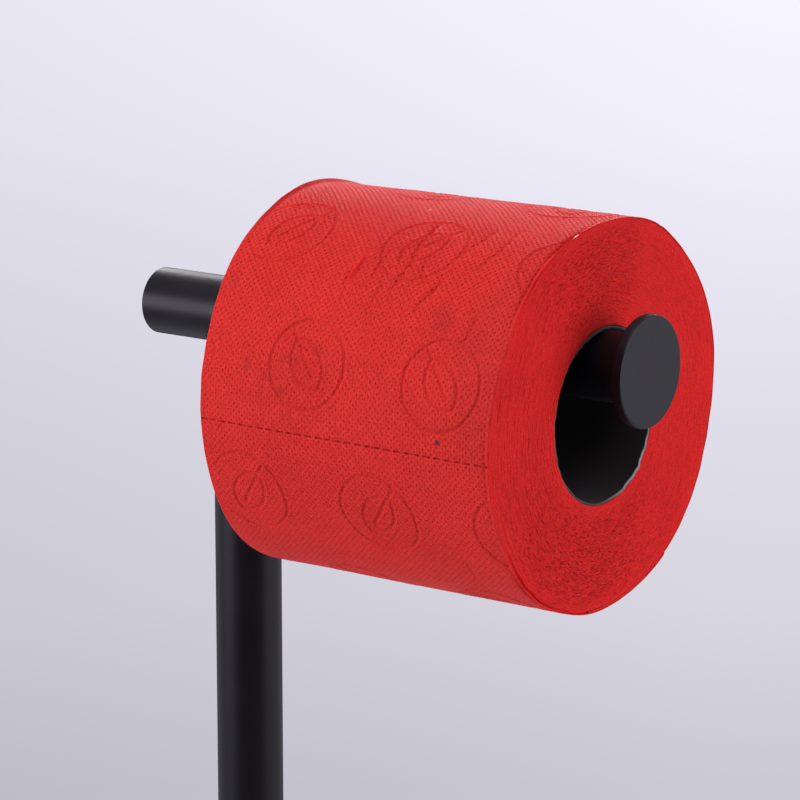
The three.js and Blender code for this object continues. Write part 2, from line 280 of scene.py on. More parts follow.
def rounded_outline(corners, steps=6, support=0.15 * MM, closed=False):
    """Straight stretches joined by arcs, as points (radius, height).

    corners are (radius, height, rounding). Each arc touches both of its stretches, and a support
    point just beyond each end keeps the shading of the flat stretches flat.
    """
    points = []
    spots = [np.array(corner[:2], dtype=float) for corner in corners]
    for index, (spot, corner) in enumerate(zip(spots, corners)):
        rounding = corner[2]
        on_end = not closed and index in (0, len(spots) - 1)
        if rounding == 0 or on_end:
            points.append(spot)
            continue
        back = spots[index - 1] - spot
        ahead = spots[(index + 1) % len(spots)] - spot
        back, ahead = back / np.linalg.norm(back), ahead / np.linalg.norm(ahead)
        half = math.acos(float(np.clip(np.dot(back, ahead), -1, 1))) / 2
        reach = rounding / math.tan(half)
        middle = spot + (back + ahead) / np.linalg.norm(back + ahead) * (rounding / math.sin(half))
        start, end = spot + back * reach, spot + ahead * reach
        points.append(spot + back * (reach + support))
        turn = np.linspace(0, 1, steps + 1)[:, None]
        sweep = math.pi - 2 * half
        arms = np.sin((1 - turn) * sweep) * (start - middle) + np.sin(turn * sweep) * (end - middle)
        points.extend(middle + arms / math.sin(sweep))
        points.append(spot + ahead * (reach + support))
    return np.array(points)


def wall_outline(inner, outer, low, high, roundings, steps=6, closed=False):
    """Outline of a round wall: inner low, outer low, outer high and inner high corner, each with its
    own rounding."""
    corners = ((inner, low), (outer, low), (outer, high), (inner, high))
    rows = [(*corner, rounding) for corner, rounding in zip(corners, roundings)]
    return rounded_outline(rows, steps=steps, closed=closed)


def turned(outline, facets, axis="z", centre=(0.0, 0.0, 0.0)):
    """Rings of a turned piece: each outline point (radius, height) swept once round the axis.

    About z, a point is (r cos t, r sin t, h). About x it is (h, -r sin t, r cos t), so that the
    angle t is counted from the top over the front.
    """
    turn = np.arange(facets) * (FULL_TURN / facets)
    radius, height = outline[:, 0, None], outline[:, 1, None]
    along = np.broadcast_to(height, (len(outline), facets))
    if axis == "z":
        rings = np.stack([radius * np.cos(turn), radius * np.sin(turn), along], axis=-1)
    else:
        rings = np.stack([along, -radius * np.sin(turn), radius * np.cos(turn)], axis=-1)
    return rings + np.array(centre)


def smooth_step(low, high, values):
    """0 below low, 1 above high, and a smooth rise between them."""
    share = np.clip((values - low) / (high - low), 0, 1)
    return share * share * (3 - 2 * share)


def bell(distance, width):
    """A bell curve of a distance: e to the power of less its square, counted in widths."""
    return np.exp(-((distance / width) ** 2))


def angle_off(turn, middle):
    """Angle between a place on the roll and a middle angle, the short way round."""
    return np.abs((turn - middle + math.pi) % FULL_TURN - math.pi)


def bump_round(turn, middle, spread):
    """A raised cosine round the roll: 1 at its middle angle and 0 beyond its spread, in degrees."""
    off = angle_off(turn, math.radians(middle))
    return np.cos(np.clip(off / math.radians(spread), 0, 1) * QUARTER) ** 2


def highest_bump(turn, rows, base=0.0):
    """The highest of several raised cosines round the roll and of a base. Rows are (middle, spread,
    height), with the angles in degrees."""
    bumps = [height * bump_round(turn, middle, spread) for middle, spread, height in rows]
    return np.maximum.reduce([*bumps, base + 0 * turn])


def wavy(turn, seed, terms, lowest=1):
    """A closed wavy line round the roll: a sum of sines of whole numbers of waves, about -1 to 1."""
    draw = np.random.default_rng(seed)
    waves = np.arange(lowest, lowest + terms)
    size = draw.normal(size=terms)
    phase = draw.uniform(0, FULL_TURN, terms)
    return (np.sin(turn[..., None] * waves + phase) * size).sum(axis=-1) / math.sqrt(terms)


# Materials


class Shader:
    """Adds nodes to a new material and links them, each call returning an output socket."""

    def __init__(self, name):
        self.material = bpy.data.materials.new(name)
        self.material.use_nodes = True
        self.tree = self.material.node_tree
        self.tree.nodes.clear()
        self.output = self.tree.nodes.new("ShaderNodeOutputMaterial")

    def node(self, kind, inputs=None, **settings):
        """A node with its settings, and its inputs set to values or linked to sockets."""
        made = self.tree.nodes.new(kind)
        for key, value in settings.items():
            setattr(made, key, value)
        for key, value in (inputs or {}).items():
            if isinstance(value, bpy.types.NodeSocket):
                self.tree.links.new(value, made.inputs[key])
            else:
                made.inputs[key].default_value = value
        return made

    def maths(self, operation, first, second=0.0, third=0.0):
        """One step of arithmetic on two or three numbers."""
        made = self.node("ShaderNodeMath", {0: first, 1: second, 2: third}, operation=operation)
        return made.outputs[0]

    def blend(self, share, first, second):
        """A mix of two colours."""
        inputs = {0: share, 6: first, 7: second}
        return self.node("ShaderNodeMix", inputs, data_type="RGBA").outputs[2]

    def vectors(self, operation, first, second=(0.0, 0.0, 0.0), output="Vector"):
        """One step of arithmetic on one or two vectors."""
        inputs = {0: first, 1: second}
        return self.node("ShaderNodeVectorMath", inputs, operation=operation).outputs[output]

    def noise(self, vector, scale, detail=2.0, roughness=0.5):
        """Smooth noise about a half."""
        made = self.node(
            "ShaderNodeTexNoise",
            {"Vector": vector, "Scale": scale, "Detail": detail, "Roughness": roughness},
        )
        return made.outputs["Fac"]

    def ranged(self, value, low, high, out_low=0.0, out_high=1.0):
        """A smooth rise of value from low to high."""
        made = self.node(
            "ShaderNodeMapRange",
            {"Value": value, 1: low, 2: high, 3: out_low, 4: out_high},
            interpolation_type="SMOOTHSTEP",
        )
        return made.outputs[0]

    def bump(self, height, distance, strength):
        """A normal tilted by a height in metres times distance."""
        inputs = {"Height": height, "Distance": distance, "Strength": strength}
        return self.node("ShaderNodeBump", inputs).outputs["Normal"]

    def coordinates(self, kind="Object"):
        """Object or UV coordinates."""
        return self.node("ShaderNodeTexCoord").outputs[kind]

    def field(self, name, output="Fac"):
        """A value that the mesh carries at its points."""
        return self.node("ShaderNodeAttribute", attribute_name=name).outputs[output]

    def finish(self, **inputs):
        """Closes the material with a principled surface."""
        surface = self.node(
            "ShaderNodeBsdfPrincipled",
            {key.replace("_", " "): value for key, value in inputs.items()},
        )
        self.tree.links.new(surface.outputs[0], self.output.inputs["Surface"])
        return self.material


def with_alpha(tone, share=1.0):
    """A colour socket's four numbers from a colour setting, darker or lighter by a share."""
    return (*(min(1.0, share * part) for part in tone), 1.0)


def powder_coat(settings):
    """Black powder coat: a soft orange-peel surface with fine grain and faintly uneven gloss."""
    made = Shader("black_powder_coat")
    place = made.coordinates()
    peel = made.noise(place, 620, 2.0)
    grain = made.noise(place, 4200, 1.0)
    cloud = made.noise(place, 45, 3.0)
    tone = made.blend(
        made.ranged(cloud, 0.3, 0.7),
        with_alpha(settings.paint, 0.88),
        with_alpha(settings.paint, 1.12),
    )
    low, high = settings.paint_roughness - 0.03, settings.paint_roughness + 0.03
    height = made.maths("MULTIPLY_ADD", grain, 0.18, peel)
    slant = made.node("ShaderNodeLayerWeight", {"Blend": 0.3}).outputs["Facing"]
    grazing = made.maths("MULTIPLY", made.ranged(slant, 0.3, 1.0), 0.45)
    return made.finish(
        Base_Color=tone,
        Roughness=made.maths("ADD", made.ranged(cloud, 0.25, 0.75, low, high), grazing),
        Specular_IOR_Level=0.18,
        Specular_Tint=(0.93, 0.90, 1.0, 1.0),
        Normal=made.bump(height, 0.06 * MM, 0.55),
    )


def rubber():
    """Dull black foam rubber with fine pores."""
    made = Shader("black_rubber")
    place = made.coordinates()
    pores = made.noise(place, 2400, 3.0, 0.7)
    tone = made.blend(pores, (0.006, 0.006, 0.006, 1), (0.020, 0.020, 0.020, 1))
    return made.finish(
        Base_Color=tone, Roughness=0.86, Normal=made.bump(pores, 0.15 * MM, 0.5)
    )


def bare_metal(name, dark, light, roughness, scale, depth):
    """Plain metal for the hidden pieces: uneven tone and a cast or plated grain."""
    made = Shader(name)
    place = made.coordinates()
    grain = made.noise(place, scale, 4.0, 0.6)
    tone = made.blend(grain, with_alpha(dark), with_alpha(light))
    return made.finish(
        Base_Color=tone,
        Metallic=1.0,
        Roughness=roughness,
        Normal=made.bump(grain, depth, 0.5),
    )


def core_card(settings):
    """Black card with a grey fibrous cut edge, which the mesh marks with its cut_edge field."""
    made = Shader("black_card")
    place = made.coordinates()
    fibre = made.noise(place, 1500, 3.0, 0.65)
    grain = made.ranged(made.noise(place, 900, 2.0), 0.2, 0.55, 0.45, 1.0)
    edge = made.maths("MULTIPLY", made.field("cut_edge"), grain)
    body = made.blend(fibre, with_alpha(settings.card, 0.7), with_alpha(settings.card, 1.3))
    return made.finish(
        Base_Color=made.blend(edge, body, with_alpha(settings.card_edge)),
        Roughness=0.9,
        Specular_IOR_Level=0.1,
        Normal=made.bump(fibre, 0.05 * MM, 0.5),
    )


def paper_tones(made, place, red, shade, pits):
    """Red that clouds softly, has pale and dark fine fibres, and turns to the shade red as painted shade
    where the pits mask is high.
    Returns the tone and the fibres."""
    cloud = made.noise(place, 60, 3.0, 0.6)
    fibre = made.noise(place, 1900, 3.0, 0.75)
    clouded = made.blend(made.ranged(cloud, 0.3, 0.7), with_alpha(red, 0.92), with_alpha(red, 1.05))
    pale = with_alpha([part * 1.20 + 0.4 * red[1] for part in red])
    lit = made.blend(made.ranged(fibre, 0.5, 0.66, 0.0, 0.9), clouded, pale)
    fibrous = made.blend(made.ranged(fibre, 0.5, 0.34, 0.0, 0.48), lit, with_alpha(shade))
    return made.blend(pits, fibrous, with_alpha(shade)), fibre


def sheet_paper(settings):
    """Embossed tissue. The UV map holds tenths of a metre across and along the paper.

    The fine pattern is the product of two cosines, one across and one along, which peaks in
    staggered rows, less a share of the sine across squared, which makes each peak an upright oval.
    Each oval is a small pit, which noise shifts a little, and the pits take painted shade. The mesh's
    fields say where pressed lines leave no pits, where the pits are deeper and shaded darker, where
    painted shade falls in the cuts, the folds, the far edge's curled strip and the groove behind the
    near lip, where a painted highlight lies along the near lip and on the creases' ridges, and where
    specks and a broad patch of painted shade change the tone.
    """
    made = Shader("red_tissue_sheet")
    place = made.coordinates()
    spread = made.node("ShaderNodeSeparateXYZ", {"Vector": made.coordinates("UV")})

    def phase(scale, shift, output, pitch):
        """Angle of the fine pattern in one direction, shifted by noise."""
        noise = made.noise(place, scale, 2.0)
        moved = made.maths("MULTIPLY_ADD", noise, shift, spread.outputs[output])
        return made.maths("MULTIPLY", moved, FULL_TURN * UV_UNIT / pitch)

    across = phase(480, 0.0050, "X", settings.dimple_across)
    along = phase(390, 0.0060, "Y", settings.dimple_along)
    product = made.maths("MULTIPLY", made.maths("COSINE", across), made.maths("COSINE", along))
    squared = made.maths("POWER", made.maths("SINE", across), 2.0)
    narrow = made.maths("MULTIPLY", squared, -PIT_NARROWING)
    # The pits' tone is painted shade, darker where the deep field is high near the roll's top.
    pit = made.ranged(made.maths("ADD", product, narrow), 0.25, 0.82)
    strength = made.ranged(made.noise(place, 700, 2.0), 0.25, 0.7, 0.40, 1.0)
    strength = made.maths("MULTIPLY", strength, made.maths("SUBTRACT", 1.0, made.field("line")))
    pit = made.maths("MULTIPLY", pit, strength)
    # Painted shade in the perforation cuts.
    cut_shade = made.maths("MULTIPLY", made.field("slit"), 0.8)
    # Painted shade in the creases' folds, on the far edge's curled strip and in the groove behind the
    # near lip.
    fold_and_cut_shade = made.maths("MULTIPLY_ADD", made.field("fold_shade"), 0.45, cut_shade)
    depth = made.maths("MULTIPLY_ADD", made.field("deep"), 0.22, 0.78)
    pits = made.maths("MINIMUM", made.maths("MULTIPLY_ADD", pit, depth, fold_and_cut_shade), 1.0)
    tone, fibre = paper_tones(made, place, settings.paper, settings.paper_shade, pits)
    red, green, blue = settings.paper
    # Painted highlight: a brighter red along the near edge's lip and on the creases' ridges.
    tone = made.blend(made.field("rim"), tone, (1.2 * red, 0.6 * green, 0.6 * blue, 1))
    # Pale and dark specks, and a broad patch of painted shade by the near rim.
    speck_and_shade = made.field("speck_and_shade")
    dark = made.maths("MULTIPLY", made.maths("MINIMUM", speck_and_shade, 0.0), -1.0)
    tone = made.blend(made.maths("MAXIMUM", speck_and_shade, 0.0), tone, (0.80, 0.62, 0.48, 1))
    tone = made.blend(dark, tone, (0.06, 0.022, 0.021, 1))
    steep = made.maths("MULTIPLY_ADD", made.field("deep"), -0.5, -1.0)
    height = made.maths("MULTIPLY_ADD", pit, steep, made.maths("MULTIPLY", fibre, 0.75))
    return made.finish(
        Base_Color=tone,
        Roughness=0.70,
        Specular_IOR_Level=0.05,
        Sheen_Weight=0.07,
        Sheen_Roughness=0.25,
        Sheen_Tint=(1.0, 0.55, 0.52, 1.0),
        Normal=made.bump(height, 0.20 * MM, 0.9),
    )


def wound_paper(settings):
    """Cut edges of the wound layers. The wound field runs round the roll without a seam. Noise bends
    it, so that the layers waver, and short dashes of painted shade open where the rough field is
    high. The gaps between the layers take painted shade too."""
    made = Shader("red_tissue_edges")
    place = made.coordinates()
    rough_and_dash_shade = made.field("rough_and_dash_shade")
    bend = made.maths("MULTIPLY_ADD", rough_and_dash_shade, 1.6, 0.5)
    waver = made.maths("MULTIPLY", made.maths("SUBTRACT", made.noise(place, 230, 2.0), 0.5), bend)
    shift = made.node("ShaderNodeCombineXYZ", {"X": 0.0, "Y": 0.0, "Z": waver}).outputs[0]
    bent = made.vectors("ADD", made.field("wound", "Vector"), shift)
    streak = made.noise(bent, 1.0, 3.0, 0.65)
    # Painted shade: short dark dashes where the rough field is high, and the gaps between layers.
    dash = made.ranged(made.noise(bent, 1.8, 4.0, 0.75), 0.53, 0.61)
    dash = made.maths("MULTIPLY", dash, made.maths("MULTIPLY_ADD", rough_and_dash_shade, 1.15, 0.10))
    pits = made.maths("MINIMUM", made.maths("MULTIPLY_ADD", made.field("gap"), 0.25, dash), 1.0)
    red, green, blue = settings.paper
    deep_red = (1.08 * red, 0.55 * green, 0.6 * blue)
    tone, fibre = paper_tones(made, place, deep_red, settings.paper_shade, pits)
    height = made.maths("MULTIPLY_ADD", streak, 0.9, fibre)
    height = made.maths("MULTIPLY_ADD", dash, -1.5, height)
    return made.finish(
        Base_Color=tone,
        Roughness=0.9,
        Specular_IOR_Level=0.12,
        Normal=made.bump(height, 0.16 * MM, 0.8),
    )


def dress(piece, material, body, slot, *nodes):
    """Gives a piece its material and its body, and hides the frame nodes that it stands for. slot is not
    used.
    """
    piece.data.materials.append(material)
    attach(piece, body)
    if nodes:
        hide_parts(*nodes)


def material_named(name, make):
    """The material of that name, made once."""
    return bpy.data.materials.get(name) or make()


# Stand


def tube_outline(settings, low, high, low_edge, high_edge):
    """A length of tube with its bore: both ends rounded outside by their own amount."""
    bore = TUBE_RADIUS - settings.tube_wall
    roundings = (0, low_edge, high_edge, 0)
    return wall_outline(bore, TUBE_RADIUS, low, high, roundings, closed=True)


def turned_bar(inner, radius, start, end, start_edge, end_edge, facets, steps=6):
    """Rings of a round bar along the arm's axis, with both ends rounded and closed."""
    outline = wall_outline(inner, radius, start, end, (0, start_edge, end_edge, 0), steps)
    return turned(outline, facets, "x", (0.0, 0.0, ARM_AXIS_Z))


def saddle_height(y):
    """Height at which an upright line this far in front of or behind the post meets the arm."""
    return ARM_AXIS_Z - np.sqrt(np.clip(TUBE_RADIUS**2 - y**2, 0, None))


class PAPERHOLDER_OT_base(bpy.types.Operator):
    """Spun steel cover and ringed non-slip pad"""

    bl_idname = "paperholder.base"
    bl_label = "Base"

    def execute(self, context):
        settings = context.scene.paperholder_stand
        radius, top, skirt = COVER_HIGH[0], COVER_HIGH[2], COVER_LOW[2]
        inner = radius - settings.cover_sheet
        hole = TUBE_RADIUS / 2
        cover = rounded_outline(
            [
                (hole, top, 0),
                (radius, top, settings.cover_corner),
                (radius, skirt, settings.cover_sheet / 3),
                (inner, skirt, settings.cover_sheet / 3),
                (inner, top - settings.cover_sheet, settings.cover_corner - settings.cover_sheet),
                (hole, top - settings.cover_sheet, 0),
            ],
            steps=10,
            closed=True,
        )
        piece = closed_form("base_cover_shell", turned(cover, 2 * settings.facets), joined=True)
        dress(piece, self.coat(settings), "stand", "black_paint", "base_cover")
        self.pad(settings)
        return {"FINISHED"}

    @staticmethod
    def coat(settings):
        """The one powder coat of the whole stand."""
        return material_named("black_powder_coat", lambda: powder_coat(settings))

    @staticmethod
    def pad(settings):
        """A flat disc whose underside carries grip rings: height follows the fourth power of a raised
        cosine of the radius."""
        radius, top = PAD_HIGH[0], PAD_HIGH[2]
        rings = int(radius / settings.pad_groove_pitch) - 1
        spots = np.linspace(settings.pad_groove_pitch, rings * settings.pad_groove_pitch, rings * 8)
        wave = 0.5 - 0.5 * np.cos(FULL_TURN * spots / settings.pad_groove_pitch)
        under = np.stack([spots, settings.pad_groove_depth * wave**4], axis=-1)
        rim = rounded_outline(
            [
                (spots[-1] + settings.pad_groove_pitch / 4, 0, 0),
                (radius, 0, settings.pad_groove_depth),
                (radius, top, settings.pad_groove_depth / 2),
                (settings.pad_groove_pitch, top, 0),
            ]
        )
        outline = np.concatenate([under, rim])
        piece = closed_form("base_pad_disc", turned(outline, 2 * settings.facets))
        dress(piece, material_named("black_rubber", rubber), "stand", "black_rubber", "base_pad")


class PAPERHOLDER_OT_post(bpy.types.Operator):
    """Two lengths of post, the upper one saddle-cut to the arm, and the weld between them"""

    bl_idname = "paperholder.post"
    bl_label = "Post and weld"

    # How far the weld's face stands out of its curve, and how far its back lies inside the tubes.
    weld_crown = 0.12 * MM
    weld_back = 1.2 * MM

    def execute(self, context):
        settings = context.scene.paperholder_stand
        coat = PAPERHOLDER_OT_base.coat(settings)
        split = LOWER_HIGH[2]
        outline = tube_outline(settings, LOWER_LOW[2], split, settings.tube_edge, settings.seam_edge)
        lower = closed_form("post_lower_tube", turned(outline, settings.facets), joined=True)
        dress(lower, coat, "stand", "black_paint", "post_lower")
        self.upper(settings, coat, split)
        self.weld(settings, coat)
        return {"FINISHED"}

    @staticmethod
    def upper(settings, coat, split):
        """The tube as before, with its whole top end let down to the saddle: height = arm axis less
        the root of (arm radius squared less y squared)."""
        outline = tube_outline(settings, split, ARM_AXIS_Z, settings.seam_edge, settings.tube_edge)
        rings = turned(outline, settings.facets)
        top = outline[:, 1, None] > (split + ARM_AXIS_Z) / 2
        rings[..., 2] -= top * (ARM_AXIS_Z - saddle_height(rings[..., 1]))
        piece = closed_form("post_upper_tube", rings, joined=True)
        dress(piece, coat, "stand", "black_paint", "post_upper")

    def weld(self, settings, coat):
        """A hollow fillet along the saddle, with a faint ripple. At each angle round the post, its
        lower edge lies on the post one leg below the saddle and its upper edge on the arm one leg out
        from it. Between them runs a quadratic curve pulled to the saddle, and a point inside the
        tubes closes the ring."""
        around = np.arange(settings.facets) * (FULL_TURN / settings.facets)
        ripple = 1 + 0.05 * np.sin(around * 46) + 0.04 * np.sin(around * 17 + 1.3)
        leg = settings.weld_leg * ripple
        side = np.arcsin(np.clip(np.sin(around), -1, 1))
        foot = np.stack(
            [
                TUBE_RADIUS * np.cos(around),
                TUBE_RADIUS * np.sin(around),
                ARM_AXIS_Z - TUBE_RADIUS * np.cos(side),
            ],
            axis=-1,
        )
        low = foot - np.stack([0 * leg, 0 * leg, leg], axis=-1)
        turn = side + leg / TUBE_RADIUS * np.sin(around)
        high = np.stack(
            [
                (TUBE_RADIUS + leg) * np.cos(around),
                TUBE_RADIUS * np.sin(turn),
                ARM_AXIS_Z - TUBE_RADIUS * np.cos(turn),
            ],
            axis=-1,
        )
        outward = np.stack([np.cos(around), np.sin(around), 0 * around], axis=-1)
        share = np.linspace(0, 1, 9)[:, None, None]
        face = (1 - share) ** 2 * low + 2 * share * (1 - share) * foot + share**2 * high
        face = face + outward * self.weld_crown
        behind = (low + high) / 2 - outward * self.weld_back
        rings = np.concatenate([face, behind[None]])
        piece = closed_form("tee_weld_fillet", np.swapaxes(rings, 0, 1), joined=True)
        dress(piece, coat, "stand", "black_paint", "tee_weld")


class PAPERHOLDER_OT_arm(bpy.types.Operator):
    """Arm tube with its closed rear end, and the end disc"""

    bl_idname = "paperholder.arm"
    bl_label = "Arm and disc"

    def execute(self, context):
        settings = context.scene.paperholder_stand
        coat = PAPERHOLDER_OT_base.coat(settings)
        facets, inner, edge = settings.facets, TUBE_RADIUS / 4, settings.tube_edge
        rings = turned_bar(inner, TUBE_RADIUS, ARM_LOW[0], ARM_HIGH[0], 2 * edge, edge, facets)
        arm = closed_form("arm_bar", rings)
        dress(arm, coat, "stand", "black_paint", "arm_tube", "arm_rear_cap")
        front, edge = DISC_HIGH[0], settings.disc_edge
        back = front - settings.disc_thickness
        rings = turned_bar(inner, DISC_HIGH[1], back, front, edge, edge, facets, steps=8)
        disc = closed_form("end_disc_plate", rings)
        dress(disc, coat, "stand", "black_paint", "end_disc")
        return {"FINISHED"}


class PAPERHOLDER_OT_fasteners(bpy.types.Operator):
    """Finishes of the pieces that stay hidden inside the stand"""

    bl_idname = "paperholder.fasteners"
    bl_label = "Hidden pieces"

    def execute(self, context):
        grey, pale_grey = (0.42, 0.43, 0.45), (0.62, 0.63, 0.66)
        dark, dull = (0.07, 0.07, 0.075), (0.17, 0.17, 0.18)
        finishes = {
            "zinc_steel": bare_metal("zinc_plate", grey, pale_grey, 0.34, 700, 0.03 * MM),
            "cast_iron": bare_metal("cast_iron", dark, dull, 0.7, 420, 0.3 * MM),
        }
        for subpart in frame["record"]["subparts"]:
            finish = finishes.get(subpart["material_slot"])
            if finish:
                node = frame["nodes"][subpart["node"]]
                node.data.materials.clear()
                node.data.materials.append(finish)
        return {"FINISHED"}


# Roll


def on_roll(along, turn, radius):
    """Points at a distance along the roll from its far face, an angle from the top and a radius."""
    along, turn, radius = np.broadcast_arrays(along, turn, radius)
    return np.stack(
        [ROLL_FAR_X + along, -radius * np.sin(turn), ROLL_AXIS_Z + radius * np.cos(turn)], axis=-1
    )


def spiral_radius(settings, turn):
    """Inner radius of the loose outer sheet at an unwound angle, growing evenly to the tail."""
    tail = SHEET_RADIUS - settings.sheet_thickness
    return tail + (turn - settings.tail_angle) / FULL_TURN * settings.turn_pitch


# The roll is out of round: flattened above and below, fuller in front and behind. Each dent or
# bulge is (middle in degrees, half its spread in degrees, height in millimetres).
NEAR_DENTS = (
    (4, 38, -1.85),
    (58, 12, -0.50),
    (93, 34, 1.10),
    (160, 15, -0.38),
    (187, 50, -1.40),
    (232, 40, 0.95),
    (286, 42, 2.20),
)
FAR_DENTS = (
    (-10, 32, -1.20),
    (45, 34, 1.00),
    (132, 24, 0.35),
    (182, 48, -2.20),
    (294, 40, 1.35),
)


def settled(along, turn, radius):
    """Radius with the roll's out-of-round shape: raised cosines of the angle, blended from the far
    face to the near one, which fade with the square of the radius towards the core."""

    def shape(dents):
        """Height of one face's dents and bulges round the roll."""
        return sum(height * bump_round(turn, middle, spread) for middle, spread, height in dents) * MM

    share = np.clip(along / ROLL_WIDTH, 0, 1)
    offset = shape(FAR_DENTS) + share * (shape(NEAR_DENTS) - shape(FAR_DENTS))
    return radius + offset * np.clip((radius - CORE_RADIUS) / (SHEET_RADIUS - CORE_RADIUS), 0, 1) ** 2


class PAPERHOLDER_OT_core(bpy.types.Operator):
    """Card core of the roll"""

    bl_idname = "paperholder.core"
    bl_label = "Core"

    facets = 240
    end_reach = 1.0 * MM
    # The card ribbon's width, and the step from one of its turns to the next.
    lap_ribbon = 42 * MM
    lap_step = 0.12 * MM
    # Where the ends stand out of the paper: middle, spread and height, with the angles in degrees.
    bared_rows = ((222, 52, 1.0), (12, 34, 1.0))
    # Middle of the stretch where the ends are knocked and frayed.
    frayed_angle = 226

    def execute(self, context):
        settings = context.scene.paperholder_roll
        bore = CORE_RADIUS - settings.core_wall
        turn = np.arange(self.facets) * (FULL_TURN / self.facets)
        low, high = -settings.core_stand, ROLL_WIDTH
        roundings = 4 * [settings.core_wall / 4]
        outline = wall_outline(bore, CORE_RADIUS, low, high, roundings, steps=3, closed=True)
        inside = outline[-1]
        steps = np.linspace(0.04, 0.96, 60)[:, None]
        bore_points = inside + steps * (outline[0] - inside)
        outline = np.concatenate([outline, bore_points])
        along, radius = outline[:, 1, None], outline[:, 0, None]
        off_middle = along - ROLL_WIDTH / 2
        near_end = np.abs(off_middle) - (ROLL_WIDTH / 2 - self.end_reach)
        end = smooth_step(0.0, 0.8 * self.end_reach, near_end)
        wave = 0.16 * MM * wavy(turn, 5, 14, 2) + 0.12 * MM * wavy(turn, 6, 40, 16)
        bared = highest_bump(turn, self.bared_rows)
        wave = wave + settings.core_stand * (2.2 * bared - 1.4)
        in_bore = radius < bore + 0.1 * MM
        knocked = 0.35 * MM * bump_round(turn, self.frayed_angle, 50) * in_bore
        sway = 0.10 * MM * wavy(turn, 7, 9, 2) - knocked
        lap = self.spiral_lap(along, turn, radius, bore)
        points = on_roll(along + end * np.sign(off_middle) * wave, turn, radius + end * sway + lap)
        past = np.maximum(along - high, low - along)
        frayed = 0.05 + 0.12 * bared + 0.83 * bump_round(turn, self.frayed_angle, 56)
        cut = smooth_step(-0.12 * MM, -0.02 * MM, past) * frayed
        fields = {"cut_edge": np.broadcast_to(cut, points.shape[:2])}
        piece = closed_form("card_core", points, fields=fields, joined=True)
        dress(piece, core_card(settings), "roll", "black_card", "roll_core")
        return {"FINISHED"}

    def spiral_lap(self, along, turn, radius, bore):
        """A card ribbon wound in a helix: inside the bore the surface steps by a seam that climbs
        one ribbon width a turn."""
        phase = (along / self.lap_ribbon - turn / FULL_TURN) % 1.0
        step = smooth_step(0.0, 0.02, phase) * (1 - smooth_step(0.02, 1.0, phase))
        return -self.lap_step * step * (radius < bore + 0.05 * MM)


